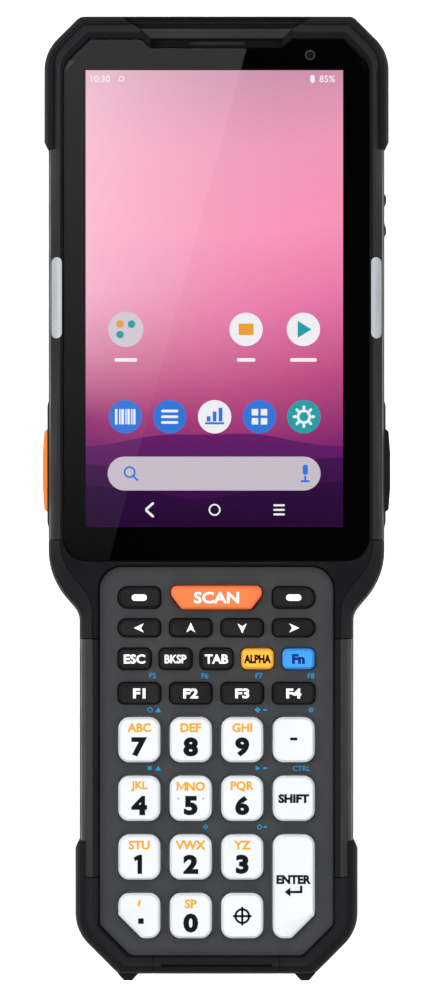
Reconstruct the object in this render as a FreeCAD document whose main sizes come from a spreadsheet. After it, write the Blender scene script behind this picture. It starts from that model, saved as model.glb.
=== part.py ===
"""Portable barcode data terminal: a rugged handheld with a glass display over a 31 key pad.

It lies on its back: +Z out of the display, +Y towards the scanner end, +X to the display's right.
The origin is on the table, under the middle of the terminal. Sizes are in millimetres.
"""
import FreeCAD, Part
import math
import os

import Sketcher

doc = FreeCAD.newDocument("DataTerminal")

# Driving dimensions, in millimetres and degrees. They go into the sheet below.
SIZES = {
    # outline of the housing, seen from the front
    "head_width": 70.8,
    "grip_width": 57.7,
    "housing_top": 100.6,
    "housing_bottom": 99.4,
    "head_chamfer": 7.0,
    "foot_chamfer": 8.5,
    "neck_top": 16.7,
    "neck_bottom": 24.3,
    "head_corner_radius": 8.3,
    "neck_outer_radius": 15.5,
    "neck_inner_radius": 4.2,
    "foot_corner_radius": 8.5,
    "point_radius": 1.2,
    # heights above the table
    "back_curve_height": 12.0,
    "parting_height": 15.5,
    "side_top": 22.0,
    "crease_height": 26.3,
    "ridge_height": 29.0,
    "frame_seat": 24.4,
    "glass_top": 28.3,
    # how far in from the housing outline things lie
    "back_inset": 6.5,
    "crease_inset": 0.65,
    "ridge_inset_top": 3.2,
    "ridge_inset_side": 2.7,
    "ridge_inset_neck": 4.3,
    "ridge_inset_grip": 2.9,
    "ridge_inset_bottom": 2.1,
    "wall": 2.4,
    "floor": 2.2,
    # rubber bumpers
    "bumper_proud": 0.9,
    "bumper_sunk": 1.2,
    "bumper_top": 26.9,
    "bumper_bottom": 3.0,
    "head_bumper_end": 73.2,
    "bumper_ramp": 1.7,
    "foot_bumper_end": 72.0,
    "lug_drop": 1.2,
    "lug_width": 3.4,
    "lug_place": 18.6,
    # seams and running gaps
    "seam": 0.2,
    "fit_gap": 0.1,
    "key_gap": 0.25,
    "slide_gap": 0.2,
    # where the front frame pieces meet, measured down the front
    "head_frame_end": 8.8,
    "neck_bezel_end": 29.5,
    "grip_rail_end": 79.4,
    # display glass and what lies under it
    "glass_inset_top": 4.7,
    "glass_inset_side": 3.5,
    "glass_bottom": 13.1,
    "glass_corner_radius": 4.9,
    "glass_thickness": 1.1,
    "glass_ledge": 1.0,
    "notch_top_half": 15.9,
    "notch_bottom_half": 13.8,
    "notch_depth": 1.8,
    "display_width": 56.6,
    "display_length": 100.3,
    "display_thickness": 3.2,
    "display_shift": 0.45,
    "display_middle": 40.4,
    "display_corner_radius": 1.0,
    # speaker bar over the glass and the recess above it
    "bar_top": 98.1,
    "bar_bottom": 96.2,
    "bar_thickness": 3.0,
    "recess_half": 19.6,
    "recess_depth": 3.2,
    # key pad plate
    "plate_width": 48.8,
    "plate_head": 14.5,
    "plate_foot": 95.8,
    "plate_thickness": 1.2,
    "plate_corner_radius": 4.6,
    "plate_chamfer": 6.4,
    "plate_chamfer_radius": 2.0,
    # keys
    "key_column_pitch": 10.77,
    "five_key_pitch": 8.57,
    "key_width": 8.75,
    "key_small_width": 6.75,
    "key_tall": 9.4,
    "key_corner_radius": 1.5,
    "key_low": 4.3,
    "key_arrow": 3.6,
    "key_rise": 1.5,
    "key_low_rise": 1.1,
    "key_travel": 0.9,
    "key_flange": 0.55,
    "key_flange_thickness": 0.6,
    "key_edge": 0.6,
    "key_post_radius": 1.2,
    "key_post_gap": 0.3,
    "soft_row": 20.85,
    "arrow_row": 27.2,
    "edit_row": 33.7,
    "function_row": 40.9,
    "seven_row": 50.6,
    "number_pitch": 12.28,
    "scan_width": 19.0,
    "scan_height": 4.9,
    "scan_taper": 2.2,
    "corner_cut": 4.9,
    # key mat and switch board
    "mat_thickness": 1.0,
    "board_thickness": 1.2,
    "dome_radius": 2.0,
    "dome_height": 0.3,
    # hollow of the head's back, and what lies inside
    "scoop_depth": 4.5,
    "scoop_foot": 2.0,
    "scoop_head": 61.0,
    "scoop_ramp": 8.5,
    "speaker_place": 30.0,
    "speaker_radius": 8.0,
    "speaker_thickness": 4.0,
    "deck_top": 22.1,
    "deck_thickness": 1.5,
    "main_board_height": 16.4,
    "main_board_thickness": 1.2,
    "screw_radius": 1.0,
    "screw_head_radius": 1.9,
    "screw_end": 20.0,
    "boss_radius": 2.6,
    "head_screw_side": 29.0,
    "head_screw_place": 86.0,
    "middle_screw_place": 8.5,
    "foot_screw_side": 15.0,
    "foot_screw_place": 93.5,
    # battery bay
    "battery_width": 36.0,
    "battery_length": 58.0,
    "battery_thickness": 11.6,
    "bay_foot": 87.5,
    "door_width": 40.0,
    "door_length": 62.6,
    "door_thickness": 2.0,
    "door_recess": 0.3,
    "door_barrel_radius": 1.4,
    "door_pin_radius": 0.7,
    "lock_width": 10.0,
    "lock_length": 6.0,
    "lock_place": 11.7,
    "lock_travel": 3.0,
    "bolt_width": 4.0,
    "bolt_thickness": 2.0,
    # side triggers
    "trigger_length": 18.0,
    "trigger_height": 5.0,
    "trigger_middle_height": 19.0,
    "trigger_place": 5.8,
    "trigger_proud": 0.9,
    "trigger_ridge_proud": 0.35,
    "trigger_ridge_length": 7.2,
    "trigger_travel": 0.6,
    "trigger_flange": 0.6,
    # volume rocker
    "rocker_length": 9.2,
    "rocker_height": 4.0,
    "rocker_place": 59.6,
    "rocker_bump": 0.4,
    "rocker_pin_radius": 0.6,
    # light pipes
    "light_length": 17.0,
    "light_width": 2.3,
    "light_place": 41.9,
    "light_middle": 33.5,
    # scanner
    "window_width": 25.0,
    "window_height": 11.0,
    "window_thickness": 1.2,
    "window_middle_height": 11.5,
    "engine_width": 22.0,
    "engine_depth": 12.0,
    "engine_height": 11.0,
    # port cover
    "port_width": 26.4,
    "port_low": 8.0,
}


class Size:
    """A length with the sheet formula that gives it, so that sums of sizes stay formulas."""

    def __init__(self, value, text):
        self.value = value
        self.text = text

    def __add__(self, other):
        other = as_size(other)
        return Size(self.value + other.value, f"({self.text} + {other.text})")

    def __radd__(self, other):
        return as_size(other) + self

    def __sub__(self, other):
        other = as_size(other)
        return Size(self.value - other.value, f"({self.text} - {other.text})")

    def __rsub__(self, other):
        return as_size(other) - self

    def __mul__(self, other):
        other = as_size(other)
        return Size(self.value * other.value, f"({self.text} * {other.text})")

    __rmul__ = __mul__

    def __truediv__(self, other):
        other = as_size(other)
        return Size(self.value / other.value, f"({self.text} / {other.text})")

    def __neg__(self):
        return Size(-self.value, f"(0 - {self.text})")


def as_size(number):
    """A plain number as a Size; a Size stays as it is."""
    return number if isinstance(number, Size) else Size(float(number), f"{float(number):.6f}")


class Names:
    """The driving dimensions by name."""


sheet = doc.addObject("Spreadsheet::Sheet", "Sizes")
dim = Names()
for row, (alias, number) in enumerate(SIZES.items(), start=1):
    sheet.set(f"A{row}", alias)
    sheet.set(f"B{row}", str(number))
    sheet.setAlias(f"B{row}", alias)
    setattr(dim, alias, Size(float(number), f"Sizes.{alias}"))
doc.recompute()


def plane(body, role):
    """One of a body's own origin planes."""
    return next(f for f in body.Origin.OriginFeatures if f.Role == role)


def place_sketch(body, name, role, offset):
    """An empty sketch on one of the body's origin planes, offset along the plane's normal."""
    sketch = body.newObject("Sketcher::SketchObject", name)
    sketch.AttachmentSupport = [(plane(body, role), "")]
    sketch.MapMode = "FlatFace"
    offset = as_size(offset)
    sketch.AttachmentOffset = FreeCAD.Placement(
        FreeCAD.Vector(0, 0, offset.value), FreeCAD.Rotation()
    )
    sketch.setExpression("AttachmentOffset.Base.z", offset.text)
    return sketch


def unit(vector):
    """The same direction, one long."""
    return vector / vector.Length


def turn_of(before, at, after):
    """Left turn angle of the outline at a corner, in radians."""
    a = math.atan2(at.y - before.y, at.x - before.x)
    b = math.atan2(after.y - at.y, after.x - at.x)
    return (b - a + math.pi) % (2 * math.pi) - math.pi


def draw_outline(sketch, corners):
    """Draws a closed outline of straight runs and tangent arcs; a corner is (x, y) or (x, y, radius)."""
    spots = [tuple(as_size(v) for v in corner) for corner in corners]
    points = [FreeCAD.Vector(s[0].value, s[1].value, 0) for s in spots]
    count = len(points)
    arcs, starts, ends = {}, [], []
    for i, at in enumerate(points):
        before, after = points[i - 1], points[(i + 1) % count]
        radius = spots[i][2].value if len(spots[i]) > 2 else 0
        turn = turn_of(before, at, after)
        if radius <= 0 or abs(turn) < 1e-6:
            ends.append(at)
            starts.append(at)
            continue
        reach = radius * math.tan(abs(turn) / 2)
        first, last = at + unit(before - at) * reach, at + unit(after - at) * reach
        inward = unit(unit(before - at) + unit(after - at))
        centre = at + inward * (radius / math.cos(turn / 2))
        middle = centre + unit(at - centre) * radius
        arcs[i] = (first, middle, last, turn > 0)
        ends.append(first)
        starts.append(last)
    for i in range(count):
        sketch.addGeometry(Part.LineSegment(starts[i], ends[(i + 1) % count]), False)
    rules, formulas = [], []
    for i in range(count):
        x, y = spots[i][0], spots[i][1]
        before = (i - 1) % count
        if i not in arcs:
            rules.append(Sketcher.Constraint("Coincident", before, 2, i, 1))
            holder = (i, 1)
        else:
            first, middle, last, left = arcs[i]
            arc = sketch.addGeometry(Part.Arc(first, middle, last), False)
            point = sketch.addGeometry(Part.Point(points[i]), True)
            rules.append(Sketcher.Constraint("Tangent", before, 2, arc, 1 if left else 2))
            rules.append(Sketcher.Constraint("Tangent", arc, 2 if left else 1, i, 1))
            rules.append(Sketcher.Constraint("PointOnObject", point, 1, before))
            rules.append(Sketcher.Constraint("PointOnObject", point, 1, i))
            formulas.append((len(rules), spots[i][2].text))
            rules.append(Sketcher.Constraint("Radius", arc, spots[i][2].value))
            holder = (point, 1)
        formulas.append((len(rules), x.text))
        rules.append(Sketcher.Constraint("DistanceX", *holder, x.value))
        formulas.append((len(rules), y.text))
        rules.append(Sketcher.Constraint("DistanceY", *holder, y.value))
    sketch.addConstraint(rules)
    for index, text in formulas:
        sketch.setExpression(f"Constraints[{index}]", text)


def new_body(name):
    """A new part design body."""
    return doc.addObject("PartDesign::Body", name)


def pad(body, name, corners, low, high, role="XY_Plane"):
    """Pads an outline between two heights along the plane's normal."""
    low, high = as_size(low), as_size(high)
    sketch = place_sketch(body, name + "_sketch", role, low)
    draw_outline(sketch, corners)
    feature = body.newObject("PartDesign::Pad", name)
    feature.Profile = (sketch, [""])
    length = high - low
    feature.Length = length.value
    feature.setExpression("Length", length.text)
    return feature


def prism(name, corners, low, high, role="XY_Plane"):
    """A body that is one padded outline."""
    body = new_body(name)
    pad(body, name + "_pad", corners, low, high, role)
    return body


def loft(body, name, sections, ruled=True):
    """Joins outlines at several heights; a section is (height, corners)."""
    sketches = []
    for number, (height, corners) in enumerate(sections):
        sketch = place_sketch(body, f"{name}_section_{number}", "XY_Plane", height)
        draw_outline(sketch, corners)
        sketches.append(sketch)
    feature = body.newObject("PartDesign::AdditiveLoft", name)
    feature.Profile = (sketches[0], [""])
    feature.Sections = [(s, [""]) for s in sketches[1:]]
    feature.Ruled = ruled
    return feature


def bind(feature, prop, size):
    """Sets a property from a size and ties it to the sheet."""
    size = as_size(size)
    feature.setExpression(prop, size.text)


def put(feature, x, y, z, rotation=None):
    """Places a primitive, with each coordinate tied to the sheet."""
    x, y, z = as_size(x), as_size(y), as_size(z)
    feature.Placement = FreeCAD.Placement(
        FreeCAD.Vector(x.value, y.value, z.value), rotation or FreeCAD.Rotation()
    )
    for axis, size in (("x", x), ("y", y), ("z", z)):
        feature.setExpression(f"Placement.Base.{axis}", size.text)
    return feature


def box(name, x, y, z):
    """A box from its low and high corner on each axis."""
    feature = doc.addObject("Part::Box", name)
    for prop, (low, high) in (("Length", x), ("Width", y), ("Height", z)):
        bind(feature, prop, as_size(high) - low)
    return put(feature, x[0], y[0], z[0])


ALONG_X = FreeCAD.Rotation(FreeCAD.Vector(0, 1, 0), 90)
ALONG_Y = FreeCAD.Rotation(FreeCAD.Vector(1, 0, 0), -90)
ALONG_Z = FreeCAD.Rotation()


def cylinder(name, radius, length, start, rotation=ALONG_Z):
    """A cylinder from its start point along an axis."""
    feature = doc.addObject("Part::Cylinder", name)
    bind(feature, "Radius", radius)
    bind(feature, "Height", length)
    return put(feature, *start, rotation)


def cut(name, base, *tools):
    """Takes the tools away from the base."""
    tool = tools[0]
    if len(tools) > 1:
        tool = doc.addObject("Part::MultiFuse", name + "_tools")
        tool.Shapes = list(tools)
    feature = doc.addObject("Part::Cut", name)
    feature.Base, feature.Tool = base, tool
    return feature


def fuse(name, *shapes):
    """Joins shapes into one."""
    feature = doc.addObject("Part::MultiFuse", name)
    feature.Shapes = list(shapes)
    feature.Refine = True
    return feature


def common(name, *shapes):
    """What the shapes share."""
    feature = doc.addObject("Part::MultiCommon", name)
    feature.Shapes = list(shapes)
    return feature


nodes = {}


def node(name, feature):
    """Marks a feature as a finished sub-part under its own label."""
    feature.Label = name
    nodes[name] = feature
    return feature


ROOT_HALF = math.sqrt(0.5)


def neck_normal():
    """Outward direction of the neck's slanting side."""
    across = (dim.head_width.value - dim.grip_width.value) / 2
    down = dim.neck_bottom.value - dim.neck_top.value
    run = math.hypot(across, down)
    return (down / run, -across / run)


def mirrored(half):
    """Right half of an outline, top to bottom, closed by its mirror image."""
    return half + [(-corner[0], *corner[1:]) for corner in reversed(half)]


def housing_outline(top, side, neck, grip, foot):
    """The housing's outline seen from the front, each side moved in by its own inset.

    The head's chamfers move in with the top, and the foot's chamfers with the grip.
    """
    top, side, neck, grip, foot = (as_size(v) for v in (top, side, neck, grip, foot))
    head_half, grip_half = dim.head_width / 2, dim.grip_width / 2
    corners = [
        (head_half - dim.head_chamfer, dim.housing_top, dim.point_radius),
        (head_half, dim.housing_top - dim.head_chamfer, dim.head_corner_radius),
        (head_half, -dim.neck_top, dim.neck_outer_radius),
        (grip_half, -dim.neck_bottom, dim.neck_inner_radius),
        (grip_half, dim.foot_chamfer - dim.housing_bottom, dim.foot_corner_radius),
        (grip_half - dim.foot_chamfer, -dim.housing_bottom, dim.point_radius),
    ]
    sides = [
        ((0, 1), top),
        ((ROOT_HALF, ROOT_HALF), top),
        ((1, 0), side),
        (neck_normal(), neck),
        ((1, 0), grip),
        ((ROOT_HALF, -ROOT_HALF), grip),
        ((0, -1), foot),
    ]
    least = 0.5
    half = []
    for number, (x, y, radius) in enumerate(corners):
        (a, first), (b, second) = sides[number], sides[number + 1]
        spread = a[0] * b[1] - a[1] * b[0]
        moved_x = (second * a[1] - first * b[1]) / spread
        moved_y = (first * b[0] - second * a[0]) / spread
        inset = (first + second) / 2
        hollow = number == 3
        rounded = radius + inset if hollow else radius - inset
        half.append((x + moved_x, y + moved_y, rounded if rounded.value > least else least))
    return mirrored(half)


def even_outline(inset):
    """The housing's outline moved in by one inset all round."""
    return housing_outline(inset, inset, inset, inset, inset)


def ridge_outline(shift):
    """The line of the frame's ridge."""
    return housing_outline(
        dim.ridge_inset_top + shift,
        dim.ridge_inset_side + shift,
        dim.ridge_inset_neck + shift,
        dim.ridge_inset_grip + shift,
        dim.ridge_inset_bottom + shift,
    )


ABOVE_ALL = dim.ridge_height + 3.0
BACK_ANGLES = (0, 30, 60, 90)


def back_section(angle, shift):
    """One level of the back's quarter-ellipse edge, from the flat back to the upright side."""
    rise = 1 - math.cos(math.radians(angle))
    tuck = 1 - math.sin(math.radians(angle))
    return (dim.back_curve_height * rise, even_outline(dim.back_inset * tuck + shift))


def terminal_form(name, shift, sloped=True):
    """The terminal's outer form, moved in by a shift; a core form goes straight up instead."""
    body = new_body(name)
    loft(body, name + "_back", [back_section(a, shift) for a in BACK_ANGLES], ruled=False)
    straight_top = dim.side_top if sloped else ABOVE_ALL
    pad(body, name + "_side", even_outline(shift), dim.back_curve_height, straight_top)
    if sloped:
        crease = (dim.crease_height, even_outline(dim.crease_inset + shift))
        loft(body, name + "_shoulder", [(dim.side_top, even_outline(shift)), crease])
        loft(body, name + "_slope", [crease, (dim.ridge_height, ridge_outline(shift))])
    return body


def rectangle(half_width, low, high, radius=None):
    """Corners of a rectangle about the middle line."""
    corners = [(half_width, high), (half_width, low), (-half_width, low), (-half_width, high)]
    return corners if radius is None else [(*corner, radius) for corner in corners]


FAR = 130.0
REACH = 50.0

envelope = terminal_form("Envelope", as_size(0))
bumper_form = terminal_form("Bumper_form", -dim.bumper_proud)
core = terminal_form("Bumper_core", dim.bumper_sunk, sloped=False)
housing_core = terminal_form("Housing_core", dim.bumper_sunk + dim.fit_gap, sloped=False)


def head_region(grow):
    """Plan of the head bumper: its two arms end in short ramps down to the housing's side."""
    half = dim.head_width / 2
    end = dim.head_bumper_end - grow
    return mirrored(
        [
            (as_size(REACH), as_size(FAR)),
            (as_size(REACH), end + dim.bumper_ramp * 3),
            (half + dim.bumper_proud * 3, end + dim.bumper_ramp * 3),
            (half, end),
            (half - dim.wall, end),
        ]
    )


def foot_region(grow):
    """Plan of the foot bumper, with the same short ramps."""
    half = dim.grip_width / 2
    end = -dim.foot_bumper_end + grow
    return mirrored(
        [
            (half - dim.wall, end),
            (half, end),
            (half + dim.bumper_proud * 3, end - dim.bumper_ramp * 3),
            (as_size(REACH), end - dim.bumper_ramp * 3),
            (as_size(REACH), as_size(-FAR)),
        ]
    )


# Recesses that the rubber sits in
RECESS_LOW = dim.bumper_bottom - dim.fit_gap
head_recess = cut(
    "Head_recess",
    prism("Head_recess_block", head_region(dim.fit_gap), RECESS_LOW, ABOVE_ALL),
    housing_core,
)
foot_recess = cut(
    "Foot_recess",
    prism("Foot_recess_block", foot_region(dim.fit_gap), RECESS_LOW, ABOVE_ALL),
    housing_core,
)
neck_low, neck_high = -dim.neck_bezel_end, -dim.head_frame_end
neck_recess = cut(
    "Neck_recess",
    box(
        "Neck_recess_block", (-REACH, REACH), (neck_low, neck_high), (dim.bumper_bottom * 2, ABOVE_ALL)
    ),
    housing_core,
)
sunk_form = cut("Sunk_form", envelope, head_recess, foot_recess, neck_recess)

# Glass and key pad plate outlines, and the openings in the frame round them
glass_low = dim.glass_top - dim.glass_thickness
board_top = dim.deck_top + dim.board_thickness
dome_top = board_top + dim.dome_height
mat_low = dome_top + dim.fit_gap
mat_top = mat_low + dim.mat_thickness
flange_low = mat_top + dim.key_travel + dim.fit_gap
flange_top = flange_low + dim.key_flange_thickness
plate_low = flange_top + dim.key_gap
plate_top = plate_low + dim.plate_thickness


def glass_outline(grow):
    """The display glass, with chamfered top corners and a notch for the speaker bar."""
    around = housing_outline(
        dim.glass_inset_top - grow,
        dim.glass_inset_side - grow,
        dim.glass_inset_side - grow,
        dim.glass_inset_side - grow,
        0,
    )
    top = dim.housing_top - dim.glass_inset_top + grow
    return mirrored(
        [
            (dim.notch_bottom_half, top - dim.notch_depth, as_size(0.6)),
            (dim.notch_top_half, top, as_size(0.6)),
            around[0],
            around[1],
            (
                dim.head_width / 2 - dim.glass_inset_side + grow,
                -dim.glass_bottom - grow,
                dim.glass_corner_radius + grow,
            ),
        ]
    )


def plate_outline(grow):
    """The key pad plate: round corners at its head, chamfered ones at its foot."""
    half = dim.plate_width / 2 + grow
    foot = -dim.plate_foot - grow
    return mirrored(
        [
            (half, -dim.plate_head + grow, dim.plate_corner_radius + grow),
            (half, foot + dim.plate_chamfer, dim.plate_chamfer_radius),
            (half - dim.plate_chamfer, foot, dim.plate_chamfer_radius),
        ]
    )


def opening(name, outline, gap, seat, flare_height):
    """The opening round a plate: upright by the plate, flaring to the ridge above it."""
    body = new_body(name)
    pad(body, name + "_side", outline(gap), seat, flare_height)
    loft(
        body,
        name + "_flare",
        [(flare_height, outline(gap)), (dim.ridge_height + 0.1, outline(gap + 0.35))],
    )
    return body


glass_opening = opening("Glass_opening", glass_outline, dim.seam * 0.75, glass_low, dim.glass_top)
plate_opening = opening("Plate_opening", plate_outline, dim.seam, plate_low, plate_top)
display_side = dim.display_width / 2
display_foot = dim.display_middle - dim.display_length / 2
display_head = dim.display_middle + dim.display_length / 2


def display_box(name, grow, low, high):
    """A block of the display module's plan."""
    return box(
        name,
        (-display_side - dim.display_shift - grow, display_side - dim.display_shift + grow),
        (display_foot - grow, display_head + grow),
        (low, high),
    )


display_well = display_box("Display_well", dim.slide_gap, dim.frame_seat - 1, ABOVE_ALL)
plate_well = prism("Plate_well", plate_outline(-dim.glass_ledge), dim.frame_seat - 1, plate_low)
front_slab = box("Front_slab", (-REACH, REACH), (-FAR, FAR), (dim.frame_seat, ABOVE_ALL))
frame_ring = cut(
    "Frame_ring",
    common("Frame_ring_form", envelope, front_slab),
    glass_opening,
    plate_opening,
    display_well,
    plate_well,
)

# Speaker bar at the head of the glass, the recess above it and the slot below it
bar_outline = [
    (dim.notch_top_half, dim.bar_top),
    (dim.notch_bottom_half, dim.bar_bottom),
    (-dim.notch_bottom_half, dim.bar_bottom),
    (-dim.notch_top_half, dim.bar_top),
]
bar_low = dim.ridge_height - dim.bar_thickness
bar_room = prism("Bar_room", bar_outline, bar_low, ABOVE_ALL)
speaker_bar = prism("Speaker_bar", bar_outline, bar_low, dim.ridge_height)
bar_recess = prism(
    "Bar_recess",
    [
        (dim.recess_half, dim.housing_top),
        (dim.notch_top_half, dim.bar_top),
        (-dim.notch_top_half, dim.bar_top),
        (-dim.recess_half, dim.housing_top),
    ],
    dim.ridge_height - dim.recess_depth,
    ABOVE_ALL,
)
slot_top = dim.bar_bottom - dim.seam
slot_foot = dim.housing_top - dim.glass_inset_top - dim.notch_depth + dim.seam
ear_trough = box(
    "Ear_trough",
    (-dim.notch_bottom_half, dim.notch_bottom_half),
    (slot_foot, slot_top),
    (dim.glass_top - 0.6, ABOVE_ALL),
)
ear_slot = box("Ear_slot", (-6.0, 6.0), (slot_foot + 0.5, slot_top - 0.4), (dim.frame_seat - 1, ABOVE_ALL))

# Light pipes let into the ridge on both sides of the glass
light_low, light_high = dim.light_place - dim.light_length / 2, dim.light_place + dim.light_length / 2


def light_prism(name, side, grow):
    """A round-ended bar on one side of the glass."""
    half = dim.light_width / 2 + grow
    middle = dim.light_middle * side
    corners = [
        (middle + half, light_high + grow),
        (middle + half, light_low - grow),
        (middle - half, light_low - grow),
        (middle - half, light_high + grow),
    ]
    radius = half * 0.98
    return prism(name, [(*c, radius) for c in corners], dim.frame_seat, ABOVE_ALL)


light_slots = [light_prism(f"Light_slot_{s}", side, dim.fit_gap) for s, side in (("right", 1), ("left", -1))]
light_bars = [light_prism(f"Light_bar_{s}", side, as_size(0)) for s, side in (("right", 1), ("left", -1))]
light_pipes = fuse(
    "Light_pipes", *(common(f"Light_pipe_{n}", bar, envelope) for n, bar in enumerate(light_bars))
)

# The front camera looks out through the glass beside the speaker bar
camera_x, camera_y, camera_half = as_size(19.6), as_size(92.75), as_size(1.9)
camera_well = box(
    "Camera_well",
    (camera_x - camera_half - dim.fit_gap, camera_x + camera_half + dim.fit_gap),
    (camera_y - camera_half - dim.fit_gap, camera_y + camera_half + dim.fit_gap),
    (dim.frame_seat - 1, glass_low + 0.05),
)

# The ring of frame pieces round the front, head first
head_block = box(
    "Head_block", (-REACH, REACH), (neck_high + dim.seam / 2, FAR), (dim.frame_seat, ABOVE_ALL)
)
head_frame = cut(
    "Head_frame",
    common("Head_frame_form", frame_ring, head_block),
    head_recess,
    bar_recess,
    bar_room,
    ear_trough,
    ear_slot,
    camera_well,
    *light_slots,
)
neck_block = box(
    "Neck_block",
    (-REACH, REACH),
    (neck_low + dim.seam / 2, neck_high - dim.seam / 2),
    (dim.frame_seat, ABOVE_ALL),
)
ridge_prism = prism("Ridge_prism", ridge_outline(as_size(0)), dim.frame_seat - 1, ABOVE_ALL)
ridge_edge = prism("Ridge_edge", ridge_outline(dim.seam * -0.5), dim.frame_seat - 1, ABOVE_ALL)
neck_bezel = common("Neck_bezel", frame_ring, neck_block, ridge_prism)
neck_wrap_block = box(
    "Neck_wrap_block",
    (-REACH, REACH),
    (neck_low + dim.seam / 2, neck_high - dim.seam / 2),
    (dim.bumper_bottom * 2 + dim.fit_gap, dim.frame_seat + 1),
)
neck_guards = fuse(
    "Neck_guards",
    cut("Neck_guard_slope", common("Neck_guard_top", frame_ring, neck_block), ridge_edge),
    cut("Neck_guard_wrap", common("Neck_guard_side", envelope, neck_wrap_block), core),
)
rail_block = box(
    "Rail_block",
    (-REACH, REACH),
    (-dim.grip_rail_end + dim.seam / 2, neck_low - dim.seam / 2),
    (dim.frame_seat, ABOVE_ALL),
)
grip_rails = cut("Grip_rails", common("Grip_rails_form", frame_ring, rail_block), foot_recess)

# Rubber round the head and the foot
head_bumper_block = prism("Head_bumper_block", head_region(as_size(0)), dim.bumper_bottom, dim.bumper_top)
window_low = dim.window_middle_height - dim.window_height / 2
window_high = dim.window_middle_height + dim.window_height / 2
window_half = dim.window_width / 2
window_hole = box(
    "Window_hole",
    (-window_half - dim.fit_gap, window_half + dim.fit_gap),
    (dim.housing_top - dim.wall * 2, FAR),
    (window_low - dim.fit_gap, window_high + dim.fit_gap),
)
head_bumper = cut(
    "Head_bumper",
    common("Head_bumper_form", bumper_form, head_bumper_block),
    core,
    bar_recess,
    window_hole,
)
foot_bumper_block = prism("Foot_bumper_block", foot_region(as_size(0)), dim.bumper_bottom, dim.bumper_top)
foot_ring_block = box(
    "Foot_ring_block", (-REACH, REACH), (-FAR, -dim.grip_rail_end - dim.seam / 2), (dim.frame_seat, ABOVE_ALL)
)
lug_foot = -dim.housing_bottom - dim.bumper_proud
lugs = [
    prism(
        f"Foot_lug_{label}",
        [
            (dim.lug_place * side - dim.lug_width * 0.65, lug_foot + 0.3),
            (dim.lug_place * side - dim.lug_width * 0.25, lug_foot - dim.lug_drop),
            (dim.lug_place * side + dim.lug_width * 0.25, lug_foot - dim.lug_drop),
            (dim.lug_place * side + dim.lug_width * 0.65, lug_foot + 0.3),
        ],
        dim.bumper_bottom * 2,
        dim.side_top + 2,
    )
    for label, side in (("right", 1), ("left", -1))
]
foot_rubber = fuse(
    "Foot_rubber",
    cut("Foot_wrap", common("Foot_wrap_form", bumper_form, foot_bumper_block), core),
    common("Foot_ring", frame_ring, foot_ring_block),
    *lugs,
)
groove_core = terminal_form("Groove_core", as_size(0.35))
envelope_skin = cut("Envelope_skin", envelope, groove_core)
port_half = dim.port_width / 2
port_axis_y = -dim.housing_bottom + (dim.bumper_sunk - dim.bumper_proud) / 2
port_barrel_radius = (dim.bumper_sunk + dim.bumper_proud) / 2
port_axis_z = dim.port_low + port_barrel_radius


def port_block(name, grow, low):
    """The space of the port cover in the foot's rubber."""
    return box(name, (-port_half - grow, port_half + grow), (-FAR, -dim.plate_foot + 1), (low, ABOVE_ALL))


port_pin_radius = as_size(0.5)
port_pin_hole = cylinder(
    "Port_pin_hole",
    port_pin_radius + 0.05,
    dim.port_width + 3.0,
    (-port_half - 1.5, port_axis_y, port_axis_z),
    ALONG_X,
)
foot_bumper = cut(
    "Foot_bumper",
    foot_rubber,
    port_block("Port_room", dim.fit_gap, dim.port_low - dim.fit_gap * 3),
    port_pin_hole,
)
nail_groove = box(
    "Nail_groove",
    (-port_half + 1.6, port_half - 1.6),
    (1.2 - dim.housing_bottom, 2.1 - dim.housing_bottom),
    (dim.side_top, ABOVE_ALL),
)
port_cover = fuse(
    "Port_cover",
    cut(
        "Port_flap",
        common("Port_flap_form", foot_rubber, port_block("Port_flap_block", as_size(0), port_axis_z)),
        common("Nail_groove_form", nail_groove, envelope_skin),
    ),
    cylinder(
        "Port_barrel", port_barrel_radius, dim.port_width, (-port_half, port_axis_y, port_axis_z), ALONG_X
    ),
    cylinder(
        "Port_pin",
        port_pin_radius,
        dim.port_width + 2.4,
        (-port_half - 1.2, port_axis_y, port_axis_z),
        ALONG_X,
    ),
)


# Keys: name, column place, row place, width, height, shape
PITCH = dim.key_column_pitch
COLUMNS = [PITCH * -1.5, PITCH * -0.5, PITCH * 0.5, PITCH * 1.5]
FIVE = [dim.five_key_pitch * step for step in (-2, -1, 0, 1, 2)]
NUMBER_ROWS = [-dim.seven_row - dim.number_pitch * step for step in range(4)]
ENTER_ROW = (NUMBER_ROWS[2] + NUMBER_ROWS[3]) / 2
ENTER_HEIGHT = dim.number_pitch + dim.key_tall
wide, low_key, tall = dim.key_width, dim.key_low, dim.key_tall
KEYS = [
    ("key_soft_left", COLUMNS[0], -dim.soft_row, wide, low_key, "left_end"),
    ("key_scan", as_size(0), -dim.soft_row, dim.scan_width, dim.scan_height, "scan"),
    ("key_soft_right", COLUMNS[3], -dim.soft_row, wide, low_key, "right_end"),
    ("key_arrow_left", COLUMNS[0], -dim.arrow_row, wide, dim.key_arrow, "left_end"),
    ("key_arrow_up", COLUMNS[1], -dim.arrow_row, wide, dim.key_arrow, "plain"),
    ("key_arrow_down", COLUMNS[2], -dim.arrow_row, wide, dim.key_arrow, "plain"),
    ("key_arrow_right", COLUMNS[3], -dim.arrow_row, wide, dim.key_arrow, "right_end"),
]
for place, word in zip(FIVE, ("esc", "backspace", "tab", "alpha", "fn")):
    KEYS.append((f"key_{word}", place, -dim.edit_row, dim.key_small_width, low_key, "plain"))
for place, word in zip(COLUMNS, ("f1", "f2", "f3", "f4")):
    KEYS.append((f"key_{word}", place, -dim.function_row, wide, low_key, "plain"))
for row, words in zip(NUMBER_ROWS, (("7", "8", "9", "minus"), ("4", "5", "6", "shift"), ("1", "2", "3"))):
    for place, word in zip(COLUMNS, words):
        KEYS.append((f"key_{word}", place, row, wide, tall, "tall"))
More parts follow.
